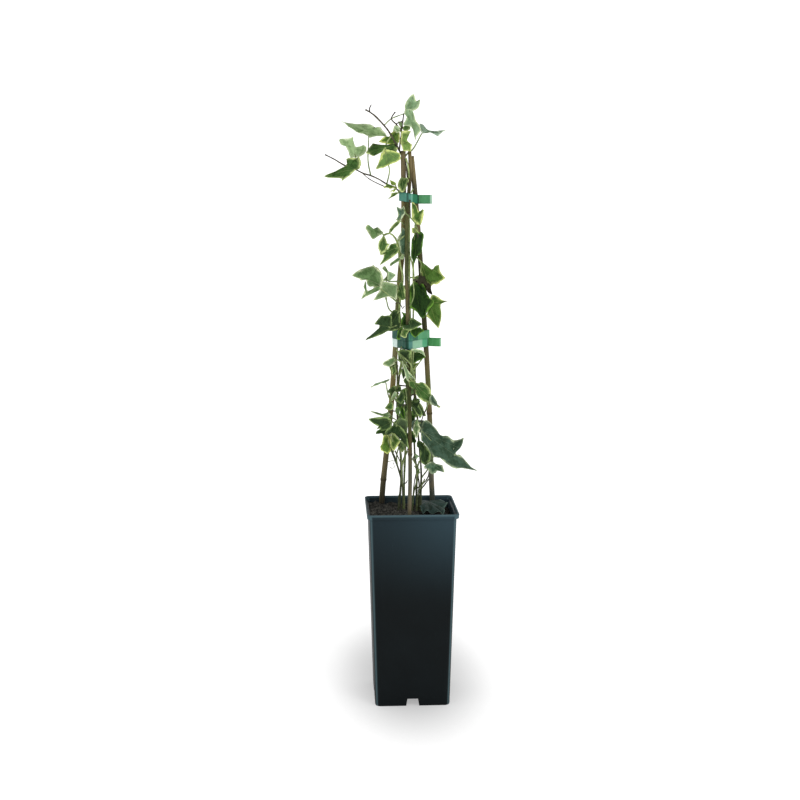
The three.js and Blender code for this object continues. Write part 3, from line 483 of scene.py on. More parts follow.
soil = {
    "level": 228.5, "slope": 0.075, "crumble": 1.3, "cells": 84, "foot": 12, "gap": 0.4,
    "fine": 1.5, "fineScale": 0.42, "clod": 1.6, "clodScale": 0.35,
}
crumbs = {
    "count": 260, "seed": 7, "reach": 46, "smallest": 0.5, "spread": 1.5, "longShare": 0.25, "long": 2.6,
    "tilt": 0.5, "flat": 0.6, "rough": 0.35,
}


def soilHeight(x, y):
    waves = sin(0.31 * x + 1.3) * cos(0.27 * y) + 0.6 * sin(0.83 * x - 0.57 * y)
    waves += 0.4 * cos(0.49 * x + 1.1 * y)
    return soil["level"] - soil["slope"] * x + soil["crumble"] * waves


# Pulls a point of a plain square in to the same square with rounded corners.
def roundCorner(x, y, half, radius):
    reach = half - radius
    if abs(x) <= reach or abs(y) <= reach:
        return x, y
    dx, dy = abs(x) - reach, abs(y) - reach
    pull = max(dx, dy) / hypot(dx, dy)
    return (reach + dx * pull) * (1 if x > 0 else -1), (reach + dy * pull) * (1 if y > 0 else -1)


def makeCompost(material):
    bm = bmesh.new()
    inset = pot["wall"] + soil["gap"]
    half = wallWidthAt(soil["level"]) / 2 - inset
    radius = pot["corner"] - inset
    bmesh.ops.create_grid(bm, x_segments=soil["cells"], y_segments=soil["cells"], size=half)
    edges = [e for e in bm.edges if e.is_boundary]
    for vert in bm.verts:
        x, y = roundCorner(vert.co.x, vert.co.y, half, radius)
        fine = noise.fractal(Vector((x, y, 3)) * soil["fineScale"], 0.8, 2.1, 4)
        clod = noise.voronoi(Vector((x, y, 0)) * soil["clodScale"])[0][0]
        z = soilHeight(x, y) + soil["fine"] * fine + soil["clod"] * (0.45 - clod)
        vert.co = Vector((x, y, z))
    low, edges, _ = drawOut(bm, edges)
    share = (wallWidthAt(soil["foot"]) / 2 - inset) / half
    for vert in low:
        vert.co = Vector((vert.co.x * share, vert.co.y * share, soil["foot"]))
    bmesh.ops.contextual_create(bm, geom=edges)
    bmesh.ops.recalc_face_normals(bm, faces=bm.faces)
    finishPiece("compostBed", bm, [material], ["soil"])


def makeCrumbs(material):
    dice = random.Random(crumbs["seed"])
    bm = bmesh.new()
    for _ in range(crumbs["count"]):
        x, y = [dice.uniform(-crumbs["reach"], crumbs["reach"]) for _ in range(2)]
        size = crumbs["smallest"] + crumbs["spread"] * dice.random() ** 2
        long = crumbs["long"] if dice.random() < crumbs["longShare"] else 1.0
        turn = Matrix.Rotation(dice.uniform(0, 2 * pi), 4, "Z")
        spin = turn @ Matrix.Rotation(dice.uniform(-crumbs["tilt"], crumbs["tilt"]), 4, "X")
        place = Matrix.Translation((x, y, soilHeight(x, y) + 0.5 * size))
        shape = Matrix.Diagonal((size * long, size / long ** 0.4, size * crumbs["flat"], 1))
        made = bmesh.ops.create_icosphere(bm, subdivisions=1, radius=1, matrix=place @ spin @ shape)["verts"]
        for vert in made:
            vert.co += noise.noise_vector(vert.co * 1.7) * size * crumbs["rough"]
    finishPiece("compostCrumbs", bm, [material])


def compostMaterial():
    shade = Shader("darkCompost")
    place = shade.place()
    lumps = shade.noise(place, 260, 4.0, 0.7)
    tone = shade.mix(shade.step(lumps, 0.35, 0.7), hexColor("#242423"), hexColor("#5a5953"))
    fibre = shade.noise(shade.stretch(place, 1, 4, 1), 420, 3.0, 0.6)
    tone = shade.lay(tone, shade.step(fibre, 0.6, 0.75), 0.5, "#6a6152")
    moss = shade.step(shade.noise(place, 60, 2.0), 0.58, 0.7)
    tone = shade.lay(tone, moss, 0.25, "#3f4436")
    shade.bump(shade.noise(place, 700, 5.0, 0.75), 0.0009)
    return shade.finish(color=tone, roughness=0.95, specular=0.08)


compostFinish = compostMaterial()
makeCompost(compostFinish)
makeCrumbs(compostFinish)


# The canes

canes = {
    "cane_left": {
        "route": [(-41, 42, 66), (-38, 44, 150), (-33, 46, 242), (-28, 37, 298), (-22, 28, 364),
                  (-18, 20, 424), (-13, 11, 512), (-10.5, 8, 540), (-8.5, 4, 580), (-9, 0, 625),
                  (-9.5, -2, 664)],
        "radius": 3.75, "joints": [262, 398, 556],
        "tones": [(225, "#23221e"), (250, "#3f3c2c"), (282, "#58513b"), (310, "#484a2a"), (372, "#6e6139"),
                  (430, "#706c4b"), (485, "#586038"), (510, "#6a6a3c"), (533, "#4f4a25"), (585, "#5f5e35"),
                  (640, "#6d6249")],
    },
    "cane_front": {
        "route": [(-5, -41, 66), (-4, -42, 150), (-4, -41, 236), (-3, -37, 278), (-3, -30, 337),
                  (-4, -20, 431), (-6, -13, 513), (-5.5, -8, 580), (-4, -6.5, 604), (-1.8, -5.5, 630),
                  (-1.4, -5, 645), (-2, -4.5, 664)],
        "radius": 2.6, "joints": [308, 450, 592],
        "tones": [(225, "#31332f"), (250, "#42433a"), (285, "#434638"), (300, "#4c4a35"), (318, "#403a20"),
                  (345, "#3e4224"), (372, "#2c3416"), (480, "#30361f"), (533, "#3a4428"), (583, "#404926"),
                  (630, "#353019"), (662, "#5c5132")],
    },
    "cane_right": {
        "route": [(36, 42, 66), (34, 44, 150), (30, 46, 236), (28, 40, 270), (25, 32, 347),
                  (20, 22, 427), (15, 14.5, 490), (10.7, 8, 550), (5.2, 2.5, 612), (0.6, 1.5, 658)],
        "radius": 3.6, "joints": [226, 347, 504],
        "tones": [(235, "#39403b"), (262, "#4f504a"), (285, "#59634f"), (330, "#525439"), (352, "#574d30"),
                  (374, "#545f2e"), (412, "#504a30"), (426, "#40412a"), (524, "#24250f"), (545, "#2f351a"),
                  (575, "#44422c"), (620, "#403e2c"), (643, "#685d40")],
    },
}

# Each joint has a ring, a swelling above it and a groove below it, as growth, height and length.
caneShape = {
    "taper": 0.8, "sides": 20, "ringEvery": 6, "nearJoint": 10, "finer": 6,
    "jointForms": [(0.45, 0, 1.5), (0.16, 4, 4), (-0.1, -4, 2)],
    "darkRing": 1.2, "cutWall": 0.3, "cupDepth": 0.9,
}


def makeCane(node):
    cane = canes[node]
    points = smoothRoute(cane["route"], caneShape["ringEvery"])
    low, high = points[0].z, points[-1].z
    bm = bmesh.new()
    jointShade = bm.verts.layers.float.new("jointShade")

    # closer rings round each joint, so that the swelling keeps its shape
    fine = [points[0]]
    for a, b in zip(points, points[1:]):
        near = any(abs((a.z + b.z) / 2 - joint) < caneShape["nearJoint"] for joint in cane["joints"])
        count = caneShape["finer"] if near else 1
        fine += [a.lerp(b, k / count) for k in range(1, count + 1)]

    def radiusAt(share):
        z = fine[min(len(fine) - 1, round(share * (len(fine) - 1)))].z
        radius = cane["radius"] * (1 - (1 - caneShape["taper"]) * (z - low) / (high - low))
        for joint in cane["joints"]:
            for growth, height, length in caneShape["jointForms"]:
                radius += growth * exp(-((z - joint - height) / length) ** 2)
        return radius

    faces = drawTube(bm, fine, radiusAt, caneShape["sides"])
    # the cut top, a shallow cup where the cane is hollow
    top = faces[-1]
    bmesh.ops.inset_region(bm, faces=[top], thickness=cane["radius"] * caneShape["cutWall"])
    bmesh.ops.translate(bm, verts=top.verts, vec=(0, 0, -caneShape["cupDepth"]))
    for vert in bm.verts:
        away = min(abs(vert.co.z - joint) for joint in cane["joints"])
        vert[jointShade] = exp(-(away / caneShape["darkRing"]) ** 2)
    name = "bamboo" + node.split("_")[1].capitalize()
    finishPiece(name, bm, [bambooMaterial(name, cane["tones"])], [node])


# Each cane fades from tone to tone up its length. The tones follow the cane's look, light and shade
# with it, so its darkest bands are painted shade.
def bambooMaterial(name, tones):
    shade = Shader(name)
    place = shade.place()
    height = shade.split(place)["Z"]
    grain = shade.noise(shade.stretch(place, 1, 1, 0.03), 900, 4.0, 0.65)
    blotch = shade.noise(shade.stretch(place, 1, 1, 0.25), 75, 3.0, 0.6)
    tone = hexColor(tones[0][1])
    for (low, _), (high, code) in zip(tones, tones[1:]):
        tone = shade.mix(shade.step(height, low * mm, high * mm), tone, hexColor(code))
    tone = shade.lay(tone, shade.step(blotch, 0.45, 0.7), 0.35, "#8d7c58")
    tone = shade.lay(tone, shade.step(grain, 0.45, 0.75), 0.2, "#8c7d5a")
    spots = shade.step(shade.noise(place, 480, 3.0, 0.7), 0.6, 0.72)
    tone = shade.lay(tone, spots, 0.4, "#1f1a10")
    tone = shade.lay(tone, shade.attribute("jointShade").outputs["Fac"], 0.75, "#2f261b")
    shade.bump(grain, 0.0002)
    return shade.finish(color=tone, roughness=shade.math("MULTIPLY_ADD", grain, 0.25, 0.55), specular=0.1)


for node in canes:
    makeCane(node)


# The tapes

# Each tape by the canes it runs round, as across, deep and radius, by its turns, as height, distance from
# the canes and how much it climbs to the left, and by its tail. Its tones lie in bands from an x each,
# from a height up, as where one layer lies on another. The bands follow the tape's look, shade with it:
# the dark band from x 2 to 8 on the lower tape's upper turn is a painted leaf shadow.
tapes = {
    "upper": {
        "around": [(-10, 1.3, 3), (-5, -6.3, 2.2), (5.8, 2.6, 3)],
        "turns": [(602.4, 0.95, 0.16)],
        "tail": [(8, -0.9), (13, -2.4), (19, -2.2), (24.6, -3.2)],
        "tones": [(0, [(-40, "#4b8273"), (-6, "#2c4f46"), (-3.5, "#4b8273"), (-0.5, "#66a08a"),
                       (1.5, "#2b7152"), (7.5, "#234a3a"), (9, "#4b875a"), (22.3, "#a3c6ad")])],
        "color": "tapeGreen", "streaks": "#7fc0a0",
    },
    "lower": {
        "around": [(-17.3, 18.5, 3), (-4.2, -19.5, 2.3), (19.4, 21, 3.1)],
        "turns": [(431.5, 0.8, 0), (440.9, 1.25, 0.03)],
        "tail": [(22.5, 19), (27, 17.4), (32, 15.2), (37.6, 14.3)],
        "tones": [(0, [(-60, "#d0e2dc"), (-16.3, "#184a3b"), (-8, "#12382a"), (-4, "#4b7d73"),
                       (1, "#87b496"), (14, "#509b73"), (20.8, "#2b5a40"), (22.3, "#4d9458"),
                       (36, "#9cc7a4")]),
                  # the upper turn; its dark band from x 2 to 8 is a painted leaf shadow
                  (441.5, [(-60, "#16493a"), (-8, "#123526"), (-4, "#34705a"), (2, "#2e6048"),
                           (8, "#509164")])],
        "color": "tapePaleGreen", "streaks": "#a9d4bd",
    },
}
tapeShape = {
    "width": 10.5, "rows": 4, "thickness": 0.35, "sides": 72, "tailStep": 1.2, "fade": 0.6,
    "wave": 0.35, "waveScale": 0.16,
}


# The line of a taut band round several posts: in each direction the post that reaches furthest
def tautOutline(posts, grow):
    points = []
    for i in range(tapeShape["sides"]):
        turn = 2 * pi * (i + 0.5) / tapeShape["sides"]
        c, s = cos(turn), sin(turn)
        x, y, r = max(posts, key=lambda p: p[0] * c + p[1] * s + p[2])
        points.append(Vector((x + (r + grow) * c, y + (r + grow) * s, 0)))
    return points


# Draws the lower edge of a tape up to its full width.
def raiseTape(bm, edges):
    for _ in range(tapeShape["rows"]):
        row, edges, _ = drawOut(bm, edges)
        bmesh.ops.translate(bm, verts=row, vec=(0, 0, tapeShape["width"] / tapeShape["rows"]))


def makeTape(key):
    tape = tapes[key]
    bm = bmesh.new()
    for low, grow, climb in tape["turns"]:
        outline = tautOutline(tape["around"], grow)
        ring = bmesh.ops.create_circle(bm, segments=len(outline), radius=1)["verts"]
        for vert, place in zip(ring, outline):
            vert.co = Vector((place.x, place.y, low + climb * max(0, tape["tail"][0][0] - place.x)))
        raiseTape(bm, [e for e in bm.edges if e.verts[0] in ring and e.verts[1] in ring])
    tailLow = tape["turns"][0][0]
    line = smoothRoute([(x, y, tailLow) for x, y in tape["tail"]], tapeShape["tailStep"])
    last = bmesh.ops.create_vert(bm, co=line[0])["vert"][0]
    strand = []
    for place in line[1:]:
        made = bmesh.ops.extrude_vert_indiv(bm, verts=[last])
        last = made["verts"][0]
        last.co = place
        strand += made["edges"]
    raiseTape(bm, strand)
    for vert in bm.verts:
        wave = noise.noise(vert.co * tapeShape["waveScale"]) * tapeShape["wave"]
        vert.co += Vector((vert.co.x, vert.co.y, 0)).normalized() * wave
    bmesh.ops.recalc_face_normals(bm, faces=bm.faces)
    piece = finishPiece("tape" + key.capitalize(), bm, [tapeMaterial(key)], ["tie_" + key])
    thicken(piece, tapeShape["thickness"])


def tapeMaterial(key):
    shade = Shader(tapes[key]["color"])
    place = shade.place()
    across, _, height = shade.split(place)
    fade = tapeShape["fade"]
    tone = None
    for low, bands in tapes[key]["tones"]:
        turn = hexColor(bands[0][1])
        for edge, code in bands[1:]:
            past = shade.step(across, (edge - fade) * mm, (edge + fade) * mm)
            turn = shade.mix(past, turn, hexColor(code))
        above = shade.step(height, (low - fade / 2) * mm, (low + fade / 2) * mm)
        tone = shade.mix(above, tone, turn) if tone else turn
    streak = shade.noise(shade.stretch(place, 1, 1, 0.2), 240, 3.0, 0.6)
    tone = shade.lay(tone, shade.step(streak, 0.5, 0.75), 0.14, tapes[key]["streaks"])
    haze = shade.noise(place, 90, 2.0)
    tone = shade.lay(tone, haze, 0.25, "#1f4a3e")
    shade.bump(streak, 0.0003)
    return shade.finish(color=tone, roughness=shade.math("MULTIPLY_ADD", haze, 0.2, 0.5), specular=0.12)


for key in tapes:
    makeTape(key)


# The ivy

# A leaf: its tone, the foot of its blade, the points of its edge in turn to the left as seen from its upper
# side, the stalk's route where it shows, and where the blade arches highest. A point of three numbers is the
# tip of a lobe. One of two numbers lies on the way there, as seen from the front. Where a blade has only
# tips, it is cut in evenly between them.
def leaf(tone, foot, edge, stalk=(), middle=None):
    tips = [point for point in edge if len(point) == 3]
    return {"tone": tone, "foot": foot, "edge": edge, "tips": tips, "drawn": len(tips) < len(edge),
            "stalk": stalk, "middle": middle}


# The tone of the blade, of its edge, and how wide that edge is. The shade and dusk tones are painted
# shade: near-black and dim greens for leaves that lie in shadow deep in the foliage.
leafTones = {
    "shade": ("#173609", "#5f8a30", 0.9),
    "dark": ("#26401f", "#8fa866", 0.9),
    "deep": ("#3c6128", "#bccb86", 1.1),
    "leaf": ("#476b27", "#c6d080", 1.2),
    "green": ("#557d2b", "#ccd67a", 1.3),
    "young": ("#76994a", "#d6dd92", 1.5),
    "grey": ("#668752", "#cdd6ac", 1.1),
    "teal": ("#48684f", "#c2cfa8", 1.1),
    "slate": ("#3b5543", "#aab993", 1.1),
    "blue": ("#9ab59a", "#d5dfc8", 0.8),
    "pale": ("#86a67c", "#cbd8ac", 0.9),
    "bright": ("#a3c088", "#d6e0bc", 0.9),
    "dusk": ("#30453f", "#62786f", 0.5),
    # near-black brown blades, where the foliage is darkest
    "nearBlack": ("#1c1a13", "#3a3426", 0.4),
}

# The stems and twigs of each vine, by radius, kind and route, and its leaves

topStems = [
    (1.35, "green", [(-7, 22, 214), (-7, 19, 260), (-6, 14, 300), (-4, 12, 350), (-1, 10, 400), (0, 9, 437),
        (-1, 6, 480), (-2, 5, 530), (-3, 4, 575), (-3, 3, 611), (-4, 5, 640), (-9, 4.5, 655),
        (-14, -3, 664)]),
    (1.15, "twig", [(-9, 4.5, 655), (-14, -3, 664), (-25, -10, 683), (-32, -12, 692), (-44, -14, 704),
        (-54, -15, 710)]),
    (0.7, "twig", [(-49, -14.5, 707.5), (-49, -13, 712), (-47, -12, 716)]),
    (0.7, "stalk", [(-32, -12, 692.5), (-24, -10, 700), (-9, -8, 706), (-4, -8, 708.5)]),
    (0.95, "twig", [(-14, -4, 665), (-13, -8, 676), (-12, -8, 685), (-18, -9, 694), (-24, -10, 700),
        (-19, -11, 708)]),
    (0.6, "twig", [(-18, -9, 694.5), (-10, -8, 698)]),
    (0.85, "twig", [(-12, -8, 686), (-11, -7, 693), (-9, -8, 706)]),
    (0.95, "twig", [(-3, 4, 612), (-9, 6, 615.5), (-15, 2, 618), (-21, -6, 622), (-29, -8, 625),
        (-37, -10, 630), (-48, -12, 635), (-56, -13, 637), (-64, -14, 641), (-79, -8, 647), (-89, -8, 653),
        (-101, -9, 659)]),
    (0.65, "twig", [(-20, -5, 621), (-29, -10, 621.5), (-37, -12, 624.5), (-49, -12, 630.5),
        (-57, -13, 637)]),
    (0.9, "twig", [(-7.5, -8, 654.5), (-6.5, -8, 647), (-5.5, -9, 639), (-5, -10, 632), (-4, -10, 618.5)]),
    (1.0, "green", [(-6.5, -10, 655), (-5, -10, 649.5), (-3.5, -10, 641.5), (-3, -10, 632)]),
    (0.85, "twig", [(-2, -9, 607), (-2, -10, 597.5), (-1.5, -11, 587)]),
    (0.8, "stalk", [(-0.5, -10, 615), (0.5, -11, 617.5), (2, -11, 620)]),
]
topLeaves = [
    leaf("bright", (-50, -8, 679), [(-54, 682), (-64, 687), (-76, -12, 691), (-74, 693), (-78, 694),
        (-82, 1, 698), (-56, 16, 696), (-44, 692), (-40, 692), (-36, 690), (-28, 8, 683), (-32, 680),
        (-45, 680), (-50, 680)], [(-48, -12, 635), (-51, -10, 653)]),
    leaf("bright", (-65, -4, 656), [(-68, 656), (-72, 656), (-74, 664), (-77, 669), (-83, 670),
        (-84, -12, 674), (-83, 677), (-73, 678), (-68, 4, 681), (-68, 678), (-64, 668), (-56, 670),
        (-52, 668), (-52, 6, 666), (-54, 662), (-57, 659), (-60, 657)], [(-64, -14, 641), (-65, -9, 649)]),
    leaf("deep", (-64, -14, 642), [(-65, 642), (-62, 642), (-60, 645), (-59, 650), (-62, -9, 657),
        (-64, 655), (-72, 655), (-76, 654), (-76, 648), (-78, 646), (-90, 639), (-102, -18, 634),
        (-94, 632), (-82, 631), (-82, -22, 628), (-73, 634)]),
    leaf("deep", (-31, -12, 665), [(-28, 664), (-22, 658), (-20, -11, 658), (-18, 660), (-16, 668),
        (-16, -3, 672), (-24, 671), (-42, 671), (-46, -1, 672), (-54, -14, 660), (-50, 660),
        (-45, -21, 656), (-31, 664)], [(-24, -9, 680), (-29, -9, 673)], middle=(-32, 668)),
    leaf("green", (-31, -13, 663), [(-25, 664), (-15, 661), (-13, 657), (-14, -11, 653), (-28, -17, 646),
        (-34, 644), (-42, -18, 642), (-38, 652), (-36, 660), (-30, 664)], [(-29, -8, 625), (-26, -10, 639),
        (-27, -10, 647)]),
    leaf("green", (-17, -3, 675), [(-14, 676), (-13, 682), (-14, -1, 686), (-17, 687), (-21, -4, 686),
        (-24, 684), (-26, 680), (-31, 680), (-38, -6, 674), (-31, 672), (-24, 671), (-16, 672)]),
    leaf("pale", (-4, -8, 708), [(-4, 708), (4, 710), (9, 715), (10, -10, 722), (6, 720), (4, 724),
        (2, -14, 728), (-2, 726), (-4, 723), (-6, 720), (-8, 715), (-8, 711), (-8, 707)]),
    leaf("pale", (-3, -12, 710), [(0, 710), (2, 707), (4, 699), (9, 693), (10, -15, 686), (5, 679),
        (4, -18, 674), (1, 688), (-2, 691), (-10, 693), (-6, 702), (-8, 705), (-8, 709), (-5, 711)]),
    leaf("deep", (-9, -9, 685), [(-10, 687), (-6, -10, 686), (-2, 688), (-2, -12, 690), (-5, 693),
        (-9, 692), (-10, 690)]),
    leaf("young", (-12, -9, 674), [(-12, 680), (-13, 674), (-10, 664), (-6, 663), (-1, -13, 663),
        (0, -16, 670), (-4, 674), (-6, 677), (-1, -11, 686), (-11, 686)]),
    leaf("grey", (-12, -6, 689), [(-10, -7, 692), (-10, 695), (-12, 697), (-16, -8, 697), (-13, 691),
        (-10, 688)]),
    leaf("grey", (-13, -8, 686), [(-18, -8, 693), (-21, -10, 690), (-18, -10, 684)]),
    leaf("blue", (13, -6, 685), [(16, 684), (24, 683), (30, -21, 680), (40, -12, 687), (34, 685), (29, 685),
        (18, 689), (14, 694), (12, 4, 696), (10, 692), (11, 688), (12, 684)], [(-9, 4, 655), (-3, 4, 662),
        (3, 0, 667)], middle=(21, 684)),
    leaf("deep", (-9, -9, 617), [(-10, 616), (-8, 618), (-4, 626), (-4, 630), (-5, -11, 633), (-10, 632),
        (-12, -8, 634), (-16, 626), (-16, 622), (-12, 616)], [(-15, 2, 618), (-14, -5, 617)]),
    leaf("green", (-18, -6, 623), [(-19, 624), (-18, 626), (-20, -6, 628), (-26, -9, 630), (-24, 625),
        (-22, 624)]),
    leaf("leaf", (-20, -8, 622), [(-29, -10, 625), (-33, -14, 621), (-24, -16, 620)]),
    leaf("green", (-17, -5, 621), [(-21, -9, 619), (-25, -12, 617), (-21, -10, 616)]),
    leaf("deep", (-15, -7, 615), [(-23, -10, 615), (-27, -12, 608)], [(-15, 2, 618), (-15, -3, 616)]),
    leaf("teal", (-14, -13, 583), [(-12, 585), (-8, 591), (-8, 594), (-9, -13, 600), (-12, 597),
        (-18, -14, 599), (-16, 589), (-18, -10, 584), (-16, 582), (-13, 582)], [(-3, 4, 575),
        (-8, -3, 578)]),
    leaf("grey", (-8, 13, 567), [(-14, 15, 557), (-11, 12, 540), (-2, 14, 548)]),
    leaf("deep", (-2, 20, 352), [(11, 33, 345), (-2, 39, 328), (-15, 33, 343)]),
    leaf("leaf", (-6, 20, 318), [(4, 34, 312), (-8, 38, 298), (-19, 31, 310)]),
    leaf("deep", (-1, 19, 382), [(9, 29, 376), (-2, 35, 361), (-12, 29, 374)]),
    leaf("grey", (-6, 17, 505), [(4, 29, 503), (-5, 34, 488), (-16, 28, 499)]),
    leaf("leaf", (6, 14, 515), [(15, 21, 520), (17, 27, 503), (5, 26, 505)]),
    leaf("deep", (-3, 16, 466), [(7, 27, 462), (-2, 32, 448), (-13, 26, 459)]),
    leaf("pale", (-18, -8, 686), [(-18, 686), (-22, -9, 686), (-20, -12, 692), (-16, 692), (-14, 688)]),
]

leftStems = [
    (1.35, "brown", [(-13, 18, 214), (-12, 16, 250), (-11, 13, 271), (-12, 9, 299), (-14, 6, 315),
        (-16, 0, 345), (-17, -4, 367), (-14, -6, 400), (-9, -5, 437)]),
    (1.45, "green", [(-14, -6, 400), (-9, -5, 437), (-13, -6, 465), (-14, -6, 480), (-12, -5, 500),
        (-10, -6, 517), (-14, -9, 534), (-15, -11, 549), (-19, -14, 562), (-26, -16, 568),
        (-33, -18, 566)]),
    (1.2, "brown", [(-11, 13, 270), (-18, 8, 293), (-23, 2, 307), (-26, -6, 321), (-27, -10, 345),
        (-24, -11, 367)]),
    (0.7, "brown", [(-10, 10, 289), (-7, 6, 299), (-3, 2, 309)]),
    (0.85, "stalk", [(-18, -18, 431), (-10, -27, 423), (-2, -32, 415), (2, -27, 398)]),
    (0.8, "stalk", [(-18, -26, 431.5), (-14.5, -27, 426.5), (-11, -28, 422), (-7.5, -28, 416.5),
        (-4, -27, 411)]),
    (0.75, "stalk", [(-21.5, -24, 420.5), (-17, -26, 420), (-13.5, -28, 417.5), (-10, -28, 413),
        (-6.5, -28, 407)]),
    (1.1, "brown", [(-18, -14, 417.5), (-17, -14, 406.5), (-17, -14, 394.5), (-17.5, -14, 383.5)]),
    (0.8, "stalk", [(-21, -16, 419), (-19.5, -16, 409), (-19.5, -16, 396)]),
    (0.7, "stalk", [(-25, -14, 371), (-20, -15, 374), (-15, -16, 379)]),
    (0.7, "twig", [(-19.5, -20, 485.5), (-17.5, -21, 488), (-15, -21, 487), (-12.5, -20, 483),
        (-11, -20, 480), (-9, -20, 483)]),
    (0.85, "green", [(-27.5, -28, 329.5), (-26.5, -33, 332), (-24.5, -36, 334), (-21, -38, 332),
        (-17.5, -39, 328), (-14, -40, 324.5), (-10.5, -40, 321)]),
    (0.75, "stalk", [(-29, -34, 325.5), (-27, -30, 317.5), (-24.5, -22, 309)]),
    (0.7, "stalk", [(-24.5, -36, 330.5), (-23, -33, 320.5), (-22, -24, 309)]),
    (1.1, "brown", [(-25, -12, 312), (-21, -9, 300.5), (-17, -6, 290), (-13.5, -4, 278.5), (-11.5, 0, 265),
        (-14, 6, 247.5), (-15, 10, 228)]),
    (0.9, "green", [(-14, -18, 315.5), (-12.5, -16, 304), (-11.5, -12, 293.5), (-10.5, -6, 278.5)]),
    (0.85, "stalk", [(-15, -20, 315.5), (-17, -18, 309), (-18, -14, 301), (-16.5, -9, 289)]),
    (0.85, "green", [(-5, -18, 309), (-8.5, -16, 300.5), (-11, -12, 289.5), (-11.5, -6, 276),
        (-9.5, 2, 262), (-8, 8, 244.5), (-7, 12, 227.5)]),
    (0.8, "brown", [(-20, -18, 309.5), (-17, -16, 303), (-13, -12, 293.5)]),
    (0.4, "stalk", [(-28, -16, 296), (-23.5, -18, 297.5), (-18.5, -14, 296)]),
    (0.4, "stalk", [(-25.5, -16, 289.5), (-24, -18, 288), (-20.5, -18, 289.5), (-22, -16, 295)]),
    (0.9, "brown", [(-11.5, -8, 287.5), (-10.5, -4, 276), (-10, 2, 262), (-9.5, 8, 243.5),
        (-10, 12, 227.5)]),
    (0.7, "twig", [(-9, -2, 265.5), (-5.5, -4, 267.5), (-4.5, -4, 270.5)]),
]
